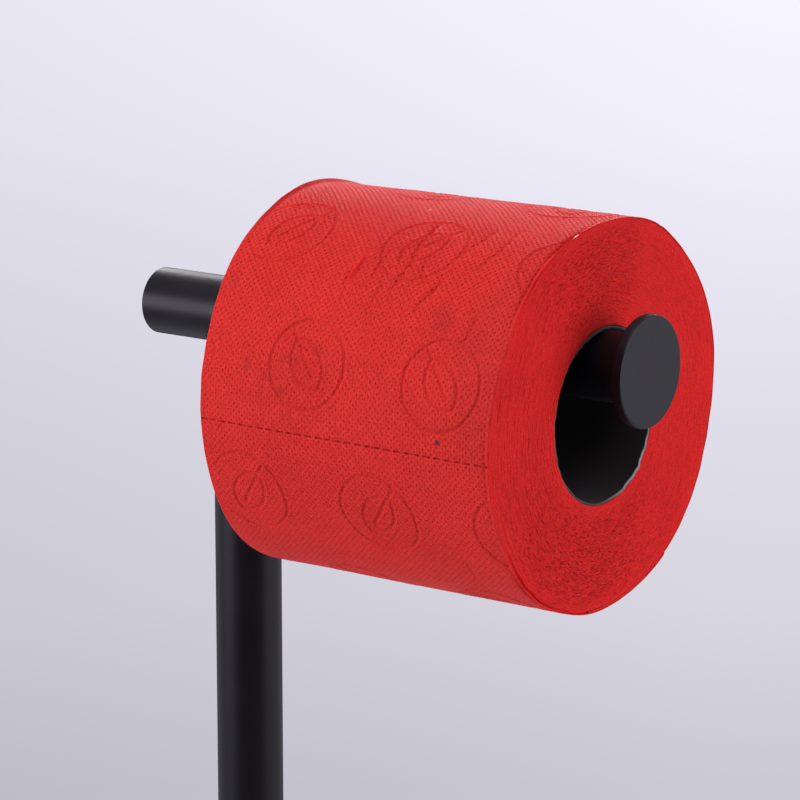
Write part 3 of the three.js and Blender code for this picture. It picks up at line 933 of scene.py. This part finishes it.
class PAPERHOLDER_OT_winding(bpy.types.Operator):
    """The wound layers, with their cut edges at both faces"""

    bl_idname = "paperholder.winding"
    bl_label = "Winding"

    facets = 264
    # Rings for each layer on the near face and on the far one.
    near_samples = 4
    far_samples = 2
    # Room to the core and to the loose sheet, and how far the hidden rings lie inside the rim.
    core_room = 0.05 * MM
    sheet_room = 0.08 * MM
    hidden_inset = 0.7 * MM
    # The streaks' noise: its waves round the roll, and the radius over which it changes.
    streak_waves = 15
    streak_pitch = 0.55 * MM
    # Layers' edges: their own rise, the whole face's slow rise, and the gaps' depths.
    edge_rise = 0.07 * MM
    slow_rise = 0.10 * MM
    gap_depth = 0.05 * MM
    open_gap_depth = 0.35 * MM
    # How far the layers sway in and out where they are tight, and how much more where loose.
    tight_sway = 0.04 * MM
    loose_sway = 0.18 * MM
    # How far the face falls back at the core, and at the rim where the outer sheet has parted.
    core_dip = 0.12 * MM
    parted_depth = 0.8 * MM
    parted_rows = ((142, 30, 1.0), (40, 26, 0.4))

    def execute(self, context):
        settings = context.scene.paperholder_roll
        turn = np.arange(self.facets) * (FULL_TURN / self.facets)
        inner = CORE_RADIUS + self.core_room
        outer = self.outer_radius(settings, turn)
        layers = int(round((float(outer.mean()) - inner) / settings.layer_pitch))
        near_share = np.linspace(0, 1, layers * self.near_samples + 1)
        far_share = np.linspace(0, 1, layers * self.far_samples + 1)
        near = self.face(turn, inner, outer, near_share, layers, 11)
        far = self.reverse(self.face(turn, inner, outer, far_share, layers, 12))
        deep = ROLL_WIDTH * np.array([0.98, 0.96, 0.04, 0.02])[:, None]
        hidden = np.broadcast_to(outer - self.hidden_inset, (len(deep), self.facets))
        radius = np.concatenate([near["radius"], hidden, far["radius"]])
        along = np.concatenate([ROLL_WIDTH + near["height"], deep + 0 * hidden, -far["height"]])
        gap = np.concatenate([near["gap"], np.ones_like(hidden), far["gap"]])
        rough_and_dash_shade = np.concatenate([near["rough_and_dash_shade"], np.zeros_like(hidden), far["rough_and_dash_shade"]])
        points = on_roll(along, turn, settled(along, turn, radius))
        round_x = self.streak_waves * np.cos(turn) + 0 * radius
        round_y = self.streak_waves * np.sin(turn) + 0 * radius
        wound = np.stack([round_x, round_y, radius / self.streak_pitch], axis=-1)
        fields = {"gap": gap, "rough_and_dash_shade": rough_and_dash_shade, "wound": wound}
        piece = closed_form("paper_layers", points, fields=fields, joined=True)
        dress(piece, wound_paper(settings), "roll", "red_paper", "paper_winding")
        return {"FINISHED"}

    def outer_radius(self, settings, turn):
        """Just inside the first turn of the loose sheet, with the step where that turn begins."""
        start = settings.tail_angle - settings.sheet_turns * FULL_TURN
        unwound = start + (turn - start) % FULL_TURN
        step = smooth_step(FULL_TURN - 0.03, FULL_TURN, unwound - start)
        return spiral_radius(settings, unwound) - step * settings.turn_pitch - self.sheet_room

    @staticmethod
    def reverse(part):
        """The arrays of a face with their rows from the outside in."""
        return {key: values[::-1] for key, values in part.items()}

    @staticmethod
    def layer_waves(turn, layers, seed):
        """Two waving lines round the roll for each layer: how high its edge stands, and how far the
        gap beside it opens. Each is a sum of sines or cosines of whole numbers of waves, whose sizes
        fall as the waves get shorter."""
        draw = np.random.default_rng(seed)
        waves = np.arange(3, 75)
        fall = 1 / (1 + (waves / 34.0) ** 2)
        size = draw.normal(size=(layers + 1, len(waves))) * fall
        phase = draw.uniform(0, FULL_TURN, (layers + 1, len(waves)))
        angles = turn[:, None] * waves[None]
        spread = math.sqrt(float((fall**2).sum()))
        pairs = list(zip(size, phase))
        edge = [(np.sin(angles + shift) * part).sum(axis=1) for part, shift in pairs]
        opening = [(np.cos(angles + 2.1 * shift) * part[::-1]).sum(axis=1) for part, shift in pairs]
        return np.stack(edge) / spread, np.stack(opening) / spread

    def face(self, turn, inner, outer, share, layers, seed):
        """One cut face as height over (radius, angle).

        Each layer's edge is a raised cosine of the radius. Its height wanders along the turn by
        waves of its own, and where the paper is loose the gap to the next layer opens here and
        there. The face falls back a little at the core, where painted shade marks a gap on one side,
        and at the rim where the outer sheet has parted from it. The gap field paints shade into the
        valleys between the layers, most where a gap opens, and along the parted rim; the rough field
        says where the material paints dark dashes of shade.
        """
        edge, opening = self.layer_waves(turn, layers, seed)
        share = share[:, None]
        place = share * layers
        layer = np.minimum(np.floor(place[:, 0]), layers - 1).astype(int)
        valley = 0.5 + 0.5 * np.cos(FULL_TURN * place)
        loose = np.maximum(0.12 + 0.88 * bump_round(turn, 163, 78), 0.85 * bump_round(turn, 12, 52))
        near_gap = np.take(opening, np.rint(place[:, 0]).astype(int), axis=0)
        opened = smooth_step(0.55, 1.8, near_gap) * loose
        inside = smooth_step(1.0, 0.96, share)
        parted = highest_bump(turn, self.parted_rows) * smooth_step(0.972, 0.988, share)
        height = inside * (
            self.edge_rise * np.take(edge, layer, axis=0)
            + self.slow_rise * wavy(turn, seed + 1, 5) * np.sin(share * 9)
            - valley * (self.gap_depth + self.open_gap_depth * opened)
        )
        height = height - self.core_dip * smooth_step(0.02, 0.0, share) - self.parted_depth * parted
        sway = (self.tight_sway + self.loose_sway * loose) * (
            np.sin(turn * 23 + share * 31) + np.sin(turn * 41 - share * 23 + 2)
        )
        sway = inside * sway * np.minimum(1, 8 * share)
        radius = inner + share * (outer - inner) + sway
        # The rough field says where the material paints dark dashes of shade: mostly at the bottom and
        # the top of the face.
        rough_and_dash_shade = loose * smooth_step(0.02, 0.25, share) * smooth_step(1.0, 0.8, share)
        # Painted shade in the valleys between layers, in a gap by the core and along the parted rim.
        gap = inside * np.clip(valley * (0.12 + 0.88 * opened) * (0.3 + 0.7 * loose), 0, 1)
        core_gap = smooth_step(0.022, 0.004, share) * bump_round(turn, 226, 60)
        gap = np.maximum.reduce([gap, core_gap, 0.7 * parted])
        return {"radius": radius, "height": height, "gap": gap, "rough_and_dash_shade": rough_and_dash_shade}


# Each crease: across and along at one end, the same at the other, height, width, in millimetres.
CREASES = (
    (40.2, 37.6, 39.2, 46.0, 0.75, 0.60),
    (38.6, 42.0, 38.2, 47.0, -0.40, 0.50),
    (38.8, 45.5, 39.6, 53.0, -0.22, 0.55),
    (46.4, 34.0, 45.6, 44.0, -0.35, 0.55),
    (53.6, 18.5, 54.2, 33.0, -0.45, 0.60),
    (54.2, 29.0, 55.3, 39.0, -0.42, 0.55),
    (55.4, 36.5, 53.4, 47.0, -0.40, 0.60),
    (58.8, 36.0, 61.4, 44.0, -0.30, 0.50),
    (67.6, 33.5, 70.2, 26.5, -0.50, 0.60),
    (69.8, 30.0, 71.2, 19.5, -0.36, 0.60),
    (75.4, 37.0, 78.4, 28.5, -0.42, 0.55),
    (78.2, 31.5, 77.8, 18.0, -0.30, 0.60),
    (62.4, 52.5, 66.4, 43.5, -0.40, 0.55),
    (66.0, 46.5, 67.4, 41.0, -0.34, 0.50),
    (82.4, 50.0, 80.6, 59.0, -0.30, 0.50),
    (50.2, 44.0, 49.0, 52.0, -0.22, 0.60),
    (79.0, 118.0, 80.0, 138.0, -0.18, 0.60),
    (22.0, 70.0, 20.5, 83.0, -0.14, 0.60),
    (70.0, -9.0, 72.0, 8.0, -0.20, 0.60),
    (30.0, 150.0, 33.0, 176.0, -0.22, 0.60),
    (60.0, -62.0, 57.0, -88.0, -0.25, 0.60),
    (25.0, -100.0, 28.0, -76.0, -0.22, 0.60),
)

# Each speck, and one broad patch of painted shade by the near rim: across, along, half its width,
# half its height, in millimetres, and its tone.
SPECKS_AND_SHADE = (
    (78.0, 84.8, 0.75, 0.75, -0.85),
    (22.0, 96.3, 0.30, 0.45, -0.80),
    (93.7, 16.5, 0.60, 1.00, 1.00),
    (45.0, 12.4, 0.35, 0.55, 0.35),
    (14.5, 72.4, 1.10, 2.20, -0.20),
    (26.5, 78.2, 2.00, 1.50, -0.18),
    (29.0, 69.5, 2.60, 1.80, -0.16),
    (37.5, 66.2, 1.50, 1.40, -0.12),
    (22.0, 74.5, 3.00, 1.40, -0.08),
    (4.0, 50.2, 1.60, 2.60, -0.13),
    (79.0, 81.0, 2.40, 1.80, -0.12),
    (72.0, 52.0, 3.00, 4.00, -0.14),
    # Not a speck: a broad faint painted shade along the near rim.
    (90.0, 62.0, 9.00, 26.0, -0.10),
)


class PAPERHOLDER_OT_sheets(bpy.types.Operator):
    """Outer sheets of tissue, from perforation to perforation"""

    bl_idname = "paperholder.sheets"
    bl_label = "Outer sheets"

    cell = 0.37 * MM
    # Distances in millimetres of the rows next to a perforation, and of the columns next to the
    # underside's edges.
    close_rows = (0.0, 0.08, 0.17, 0.30, 0.50, 0.75, 1.05)
    close_columns = (0.0, 0.4, 0.8, 1.2, 1.7, 2.4, 4.7)
    # Where the near edge stands proud: middle, spread and height, with the angles in degrees.
    proud_rows = ((22, 26, 1.0), (42, 20, 0.95), (95, 26, 0.45), (138, 30, 0.75))
    proud_least = 0.10
    # The near edge: its ripple, its lip, the groove behind the lip, and where the painted highlight
    # along its rim fades.
    edge_ripple = 0.05 * MM
    lip_width = 0.8 * MM
    groove_inset = 1.2 * MM
    groove_width = 0.5 * MM
    rim_highlight_fade = (0.85 * MM, 0.35 * MM)
    slack_height = 0.06 * MM
    # How far from the far edge and from the near one the pressed pattern starts and is full.
    far_hem = (0.5 * MM, 7 * MM)
    near_hem = (0.2 * MM, 2 * MM)
    # Depth at which a crease's painted shade is full, and height at which the painted highlight on
    # its ridge is full.
    full_fold_shade = 0.45 * MM
    full_ridge_highlight = 0.50 * MM
    # A perforated edge: how far it bends in at the bonds, and how much more at the cuts, over what
    # distance, and half the width of a cut.
    bond_tuck = 0.05 * MM
    cut_tuck = 0.20 * MM
    tuck_reach = 0.35 * MM
    cut_width = 0.16 * MM

    def execute(self, context):
        settings = context.scene.paperholder_roll
        tissue = sheet_paper(settings)
        tail = settings.tail_angle * SHEET_RADIUS
        start = tail - settings.sheet_turns * FULL_TURN * SHEET_RADIUS
        end, number = tail, 1
        while end > start + self.cell:
            begin = max(end - settings.sheet_length, start)
            self.sheet(settings, tissue, number, begin, end)
            end, number = begin, number + 1
        return {"FINISHED"}

    def sheet(self, settings, tissue, number, begin, end):
        """One sheet as a closed skin: its profile runs across the outside, down the near edge, back
        underneath and up the far edge, and is carried along the spiral."""
        close = np.array(self.close_rows) * MM
        rows = int(round((end - begin - 2 * close[-1]) / self.cell))
        even = np.linspace(begin + close[-1], end - close[-1], rows + 1)[1:-1]
        along = np.concatenate([begin + close, even, end - close[::-1]])
        columns = int(round(ROLL_WIDTH / self.cell))
        top = np.linspace(0, ROLL_WIDTH, columns + 1)
        steps = np.array(self.close_columns) * MM
        middle = np.array([0.7, 0.4, 0.2]) * ROLL_WIDTH
        under = np.concatenate([ROLL_WIDTH - steps, middle, steps[::-1]])
        across = np.concatenate([top, under])
        thick = np.concatenate([np.ones(len(top)), np.zeros(len(under))])
        grid_across, grid_along = np.meshgrid(across, along)
        turn = grid_along / SHEET_RADIUS
        proud = highest_bump(turn, self.proud_rows, self.proud_least)
        radius = spiral_radius(settings, turn) + thick * settings.sheet_thickness
        radius = radius + self.lift(settings, grid_across, turn) + self.slack(grid_across, turn)
        radius = radius + self.flare(settings, grid_across) * proud
        press, marks = self.pressed(settings, grid_across, grid_along, begin, end)
        radius = settled(grid_across, turn, radius + press)
        stand = settings.rim_stand * (grid_across / ROLL_WIDTH) * proud
        ripple = self.edge_ripple * wavy(turn, 30 + number, 40, 4)
        points = on_roll(grid_across + stand + ripple, turn, radius)
        uv = np.stack([grid_across, grid_along], axis=-1) / UV_UNIT
        # Painted shade on the far edge's curled strip and in the groove behind the near lip goes into the
        # fold field.
        curled = self.curled(settings, grid_across, turn)
        groove = self.groove(grid_across) * proud**2 * (1.7 + 0.5 * wavy(turn, 44, 14, 6))
        # Painted highlight along the near lip; the creases' ridges join it in the rim field.
        rim = smooth_step(*self.rim_highlight_fade, ROLL_WIDTH - grid_across) * np.minimum(1, 1.5 * proud)
        fields = {
            "slit": marks["slit"] * thick,
            "fold_shade": np.maximum.reduce([marks["fold_shade"], 1.8 * curled, groove]) * thick,
            "line": np.maximum(marks["line"], curled),
            "deep": marks["deep"],
            "rim": np.maximum(rim, marks["ridge_highlight"]),
            "speck_and_shade": speck_and_shade_tones(grid_across, grid_along),
        }
        piece = closed_form(f"outer_sheet_{number}", points, uv=uv, fields=fields)
        dress(piece, tissue, "roll", "red_paper", "outer_sheet")

    @staticmethod
    def lift(settings, across, turn):
        """Rise of the far edge: a broad lift and a tight curl. The first goes with the square of the
        nearness to the edge and the second with its power of 1.3, and both with the square of a
        cosine round the roll."""
        off = angle_off(turn, settings.lift_angle)
        spread = np.cos(np.clip(off / settings.lift_spread, 0, 1) * QUARTER) ** 2
        broad = np.clip(1 - across / settings.lift_depth, 0, 1) ** 2
        curl = np.clip(1 - across / settings.curl_depth, 0, 1) ** 1.3
        return spread * (settings.lift_height * broad + settings.curl_height * curl)

    @staticmethod
    def curled(settings, across, turn):
        """How much of the far edge's curl shows as a bare strip without pits, which takes painted shade:
        1 at the edge in the middle of the lifted stretch, 0 beyond the curl and past its ends."""
        off = angle_off(turn, settings.lift_angle)
        spread = smooth_step(1.15, 0.7, off / settings.lift_spread)
        return spread * smooth_step(settings.curl_depth, 0.75 * settings.curl_depth, across)

    def flare(self, settings, across):
        """Rise of the near edge: a groove, as a bell curve, then a lip that rises with the nearness
        to the edge to the power of 1.5."""
        lip = np.clip(1 - (ROLL_WIDTH - across) / self.lip_width, 0, 1) ** 1.5
        return settings.rim_flare * (lip - 0.85 * self.groove(across))

    def groove(self, across):
        """The dip behind the near edge's lip: a bell curve of the distance from its middle."""
        return bell(ROLL_WIDTH - across - self.groove_inset, self.groove_width)

    def slack(self, across, turn):
        """Soft unevenness of paper that isn't wound tight: three sines in different directions."""
        share = across / ROLL_WIDTH
        waves = (
            np.sin(turn * 5 + share * 4)
            + np.sin(turn * 9 - share * 7 + 1)
            + np.sin(share * 11 + turn * 3)
        )
        return self.slack_height * waves

    def pressed(self, settings, across, along, begin, end):
        """Height of everything pressed into the sheet, and fields for its pressed lines, the painted
        shade of its cuts and folds and the painted highlight on its ridges.

        The fine pattern is that of the tissue's material, deeper at the roll's top. Motifs are lines
        pressed as a bell curve of the distance to them, with a low shoulder on each side. All of it
        fades towards both edges, and where the outer turn covers the sheet.
        """
        wave_across = FULL_TURN * across / settings.dimple_across
        wave_along = FULL_TURN * along / settings.dimple_along
        fine = np.cos(wave_across) * np.cos(wave_along) - PIT_NARROWING * np.sin(wave_across) ** 2
        pits = smooth_step(0.0, 1.0, fine)
        distance = motif_distance(settings, across, along)
        line = bell(distance, settings.emboss_width / 2)
        shoulder = bell(distance - settings.emboss_width, settings.emboss_width / 2)
        hems = smooth_step(*self.far_hem, across) * smooth_step(*self.near_hem, ROLL_WIDTH - across)
        turn = along / SHEET_RADIUS
        covered = settings.tail_angle - FULL_TURN
        bare = hems * (0.3 + 0.7 * smooth_step(covered - 0.08, covered, turn))
        # Deeper pits near the roll's top, which the material also shades darker.
        deep = bump_round(turn, 12, 62)
        height = settings.dimple_depth * (1 + 2.2 * deep) * (0.25 - pits) * (1 - line)
        height = height - settings.emboss_depth * line + 0.25 * settings.emboss_depth * shoulder
        creased = sum(crease(across, along, *row) for row in CREASES)
        tuck, slit = self.perforation(settings, across, np.minimum(along - begin, end - along))
        marks = {
            "slit": slit,
            "fold_shade": bare * np.clip(-creased / self.full_fold_shade, 0, 1) ** 1.5,
            "ridge_highlight": bare * np.clip(creased / self.full_ridge_highlight, 0, 1),
            "line": line * hems,
            "deep": deep,
        }
        return (height + creased) * bare - tuck, marks

    def perforation(self, settings, across, to_edge):
        """How far a sheet's edge bends in, and how much of a cut is there, which the material shows as
        painted shade: both bell curves of the distance to the edge, with a dash for each cut across the
        paper."""
        beat = (across / settings.perforation_pitch) % 1.0
        share = settings.perforation_cut / settings.perforation_pitch
        dash = smooth_step(0.0, 0.08, beat) * (1 - smooth_step(share - 0.08, share, beat))
        tuck = (self.bond_tuck + self.cut_tuck * dash) * bell(to_edge, self.tuck_reach)
        return tuck, dash * bell(to_edge, self.cut_width)


def crease(across, along, ax, ay, bx, by, rise, width):
    """A crease from (ax, ay) to (bx, by): a bell curve of the distance, fading to both ends."""
    start, way = np.array([ax, ay]) * MM, np.array([bx - ax, by - ay]) * MM
    reach = float(np.dot(way, way))
    share = ((across - start[0]) * way[0] + (along - start[1]) * way[1]) / reach
    near = np.clip(share, 0, 1)
    distance = np.hypot(across - start[0] - near * way[0], along - start[1] - near * way[1])
    fade = smooth_step(-0.15, 0.3, share) * smooth_step(1.15, 0.7, share)
    return rise * MM * fade * bell(distance, width * MM)


def speck_and_shade_tones(across, along):
    """Stray specks and a broad patch of painted shade, dark below 0 and pale above it: each an ellipse
    with a soft edge.
    """
    total = 0 * across
    for middle_x, middle_y, wide, high, tone in SPECKS_AND_SHADE:
        off_x, off_y = across - middle_x * MM, along - middle_y * MM
        far = np.hypot(off_x / (wide * MM), off_y / (high * MM))
        total = total + tone * smooth_step(1.4, 0.7, far)
    return np.clip(total, -1, 1)


def motif_distance(settings, across, along):
    """Distance to the nearest pressed line of a repeating leaf pattern.

    Rings stand in staggered rows, each with a leaf inside that leans one way or the other by row. A
    leaf's outline is where two equal circles overlap, and its midrib is a straight stretch.
    """
    column, row = 43 * MM, 39 * MM
    start_x, start_y = 0.2, 0.1
    size = settings.motif_radius
    arc, arc_middle = 0.74 * size, 0.36 * size
    rib_foot, rib_tip = -0.92 * size, 0.34 * size
    lines = []
    for stagger, lean in ((0.0, 0.62), (0.5, -0.62)):
        x = ((across / column + stagger + start_x) % 1.0 - 0.5) * column
        y = ((along / (2 * row) + stagger + start_y) % 1.0 - 0.5) * 2 * row
        leaf_x = x * math.cos(lean) + y * math.sin(lean)
        leaf_y = y * math.cos(lean) - x * math.sin(lean)
        ring = np.abs(np.hypot(x, y) - size)
        outline = np.abs(np.hypot(np.abs(leaf_x) + arc_middle, leaf_y) - arc)
        rib = np.hypot(leaf_x, leaf_y - np.clip(leaf_y, rib_foot, rib_tip))
        lines += [ring, outline, rib]
    return np.minimum.reduce(lines)


# Stage


# Level directions from the stand: to the camera, and to the right as the camera sees it.
TO_CAMERA = (0.60, -0.80, 0.0)
TO_RIGHT = (0.814, 0.581, 0.0)


class PAPERHOLDER_OT_stage(bpy.types.Operator):
    """Pale round cove, soft lights and the camera"""

    bl_idname = "paperholder.stage"
    bl_label = "Stage"

    cove_radius, cove_bend, cove_height = 5.2, 1.2, 4.5
    lamp_tint = (0.975, 0.955, 1.0)
    air_glow = 0.30

    def execute(self, context):
        settings = context.scene.paperholder_stage
        self.cove(settings)
        self.lights(context.scene, settings)
        self.camera(context.scene, settings)
        context.scene.view_settings.view_transform = "Standard"
        return {"FINISHED"}

    def cove(self, settings):
        """A floor disc that turns up into a wall all round: radius and height from one outline."""
        bend = (self.cove_radius, 0, self.cove_bend)
        top = (self.cove_radius, self.cove_height, 0)
        outline = rounded_outline([(0.02, 0, 0), bend, top], steps=24)
        piece = cove_mesh("studio_cove", turned(outline, 128))
        piece.data.materials.append(cove_paint(settings))

    def lights(self, scene, settings):
        """Soft boxes aimed at the roll. Each is (name, compass angle, height angle, distance, width,
        height, brightness), where a brightness of 1 looks white."""
        aim = Vector((0.06, 0.0, ROLL_AXIS_Z))
        boxes = (
            ("overhead_box", -100, 78, 1.5, 1.8, 1.8, 2.0),
            ("left_box", -125, 4, 1.2, 0.70, 0.66, 7.1),
            ("right_box", 24, 4, 1.05, 0.75, 0.75, 3.35),
            ("back_box", 128, 22, 1.6, 1.5, 0.5, 9.8),
            ("low_card", 0, -90, 0.55, 0.9, 0.9, 0.22),
        )
        for name, compass, height, reach, wide, tall, brightness in boxes:
            turn, rise = math.radians(compass), math.radians(height)
            level = math.cos(rise)
            way = Vector((math.cos(turn) * level, math.sin(turn) * level, math.sin(rise)))
            data = bpy.data.lights.new(name, "AREA")
            data.shape = "RECTANGLE"
            data.size, data.size_y = wide, tall
            data.energy = brightness * math.pi * wide * tall
            data.color = self.lamp_tint
            lamp = bpy.data.objects.new(name, data)
            lamp.location = aim + way * reach
            lamp.rotation_mode = "QUATERNION"
            lamp.rotation_quaternion = (-way).to_track_quat("-Z", "Y")
            lamp.visible_camera = False
            scene.collection.objects.link(lamp)
        world = bpy.data.worlds.new("studio_air")
        world.use_nodes = True
        air = world.node_tree.nodes["Background"]
        air.inputs["Color"].default_value = with_alpha(settings.tint)
        air.inputs["Strength"].default_value = self.air_glow
        scene.world = world

    @staticmethod
    def camera(scene, settings):
        """A long lens at the photograph's viewing angle, aimed a little below the arm."""
        data = bpy.data.cameras.new("view_camera")
        data.lens = settings.lens
        data.sensor_width = 36.0
        data.clip_start, data.clip_end = 0.05, 50.0
        camera = bpy.data.objects.new("view_camera", data)
        camera.location = (0.6467, -0.8313, ARM_AXIS_Z + 0.2170)
        aim = Vector((0.0535, 0.0, ARM_AXIS_Z - 0.0184))
        camera.rotation_mode = "QUATERNION"
        camera.rotation_quaternion = (aim - camera.location).to_track_quat("-Z", "Y")
        scene.collection.objects.link(camera)
        scene.camera = camera


def cove_mesh(name, rings):
    """An open surface through rings, closed in the middle of the floor, its faces up and inwards."""
    count, around = rings.shape[:2]
    quads = ring_quads(count, around)[:, [0, 3, 2, 1]]
    here = np.arange(around)
    fan = np.stack([np.full(around, count * around), here, (here + 1) % around], axis=-1)
    points = np.concatenate([rings.reshape(-1, 3), rings[:1].mean(axis=1)])
    return mesh_object(name, points, quads, fan, None, {})


def cove_paint(settings):
    """Pale paint that takes shadows near the stand. Farther off it glows evenly, brighter with the
    distance from the stand and a little darker to the left; light and gloss, though not the camera,
    find it dark behind the camera."""
    made = Shader("studio_paint")
    place = made.coordinates()
    spread = made.node("ShaderNodeSeparateXYZ", {"Vector": place})
    level = {"X": spread.outputs["X"], "Y": spread.outputs["Y"]}
    flat = made.node("ShaderNodeCombineXYZ", level).outputs[0]
    reach = made.vectors("LENGTH", flat, output="Value")
    run = made.maths("ADD", reach, spread.outputs["Z"])
    # Distance along the floor and up the wall, and how bright the paint is there.
    stops = ((0.6, 0.56), (1.38, 0.565), (1.83, 0.655), (3.03, 0.76), (5.57, 0.95))
    last_run = 6.0
    ramp = made.node("ShaderNodeValToRGB", {"Fac": made.maths("DIVIDE", run, last_run)})
    while len(ramp.color_ramp.elements) < len(stops):
        ramp.color_ramp.elements.new(0.5)
    for element, (distance, grey) in zip(ramp.color_ramp.elements, stops):
        element.position = distance / last_run
        element.color = (grey, grey, grey, 1)
    sideways = made.vectors("DOT_PRODUCT", place, TO_RIGHT, "Value")
    span = made.maths("MULTIPLY_ADD", reach, 0.1, 0.1)
    sideways = made.maths("DIVIDE", sideways, span)
    inputs = {"Value": sideways, 1: -1, 2: 1, 3: 0.93, 4: 1.065}
    slope = made.node("ShaderNodeMapRange", inputs).outputs[0]
    red, green, blue = settings.tint
    tinted = made.vectors("MULTIPLY", ramp.outputs[0], (red, green, blue * 1.08))
    inputs = {0: tinted, "Scale": slope}
    tone = made.node("ShaderNodeVectorMath", inputs, operation="SCALE").outputs[0]
    toward = made.vectors("DOT_PRODUCT", made.vectors("NORMALIZE", flat), TO_CAMERA, "Value")
    dark_side = made.maths("MULTIPLY", made.ranged(toward, 0.50, 0.85), made.ranged(reach, 1.0, 1.6))
    far_side = made.ranged(toward, -0.1, -0.6, 1.0, 0.70)
    close_by = made.maths("MULTIPLY", made.ranged(reach, 0.4, 0.7), made.ranged(reach, 1.4, 0.9))
    open_side = made.maths("MULTIPLY_ADD", dark_side, -0.95, far_side)
    open_side = made.maths("MINIMUM", made.maths("MULTIPLY_ADD", close_by, 0.9, open_side), 1.0)
    ray = made.node("ShaderNodeLightPath")
    mirrored = made.maths("MAXIMUM", ray.outputs["Is Glossy Ray"], ray.outputs["Is Transmission Ray"])
    mirrored = made.maths("MULTIPLY", mirrored, made.maths("SUBTRACT", 1.0, dark_side))
    seen = made.maths("MAXIMUM", ray.outputs["Is Camera Ray"], mirrored)
    strength = made.maths("MAXIMUM", seen, open_side)
    matt = made.node("ShaderNodeBsdfDiffuse", {"Color": tone})
    glow = made.node("ShaderNodeEmission", {"Color": tone, "Strength": strength})
    share = made.ranged(reach, 0.5, 1.2)
    mixed = made.node("ShaderNodeMixShader", {0: share, 1: matt.outputs[0], 2: glow.outputs[0]})
    made.tree.links.new(mixed.outputs[0], made.output.inputs["Surface"])
    return made.material


class PAPERHOLDER_PT_panel(bpy.types.Panel):
    """Sidebar panel with the steps and the settings"""

    bl_label = "Paper Holder"
    bl_idname = "PAPERHOLDER_PT_panel"
    bl_space_type = "VIEW_3D"
    bl_region_type = "UI"
    bl_category = "Paper Holder"

    def draw(self, context):
        """A button for each step, then each group of settings in a box."""
        for step in OPERATORS:
            self.layout.operator(step.bl_idname)
        for group in GROUPS:
            box = self.layout.box()
            settings = getattr(context.scene, group)
            for key in settings.__annotations__:
                box.prop(settings, key)


OPERATORS = (
    PAPERHOLDER_OT_stage,
    PAPERHOLDER_OT_base,
    PAPERHOLDER_OT_post,
    PAPERHOLDER_OT_arm,
    PAPERHOLDER_OT_fasteners,
    PAPERHOLDER_OT_core,
    PAPERHOLDER_OT_winding,
    PAPERHOLDER_OT_sheets,
)
GROUPS = {
    "paperholder_stand": StandSettings,
    "paperholder_roll": RollSettings,
    "paperholder_stage": StageSettings,
}


def register():
    """Registers the classes and hangs the settings on the scene."""
    for kind in (*GROUPS.values(), *OPERATORS, PAPERHOLDER_PT_panel):
        bpy.utils.register_class(kind)
    for key, kind in GROUPS.items():
        setattr(bpy.types.Scene, key, PointerProperty(type=kind))


def unregister():
    """Takes the settings and the classes away again."""
    for key in GROUPS:
        delattr(bpy.types.Scene, key)
    for kind in (PAPERHOLDER_PT_panel, *reversed(OPERATORS), *GROUPS.values()):
        bpy.utils.unregister_class(kind)


def main():
    """Builds every piece in order."""
    register()
    bpy.ops.paperholder.stage()
    bpy.ops.paperholder.base()
    bpy.ops.paperholder.post()
    bpy.ops.paperholder.arm()
    bpy.ops.paperholder.fasteners()
    bpy.ops.paperholder.core()
    bpy.ops.paperholder.winding()
    bpy.ops.paperholder.sheets()


if __name__ == "__main__":
    main()
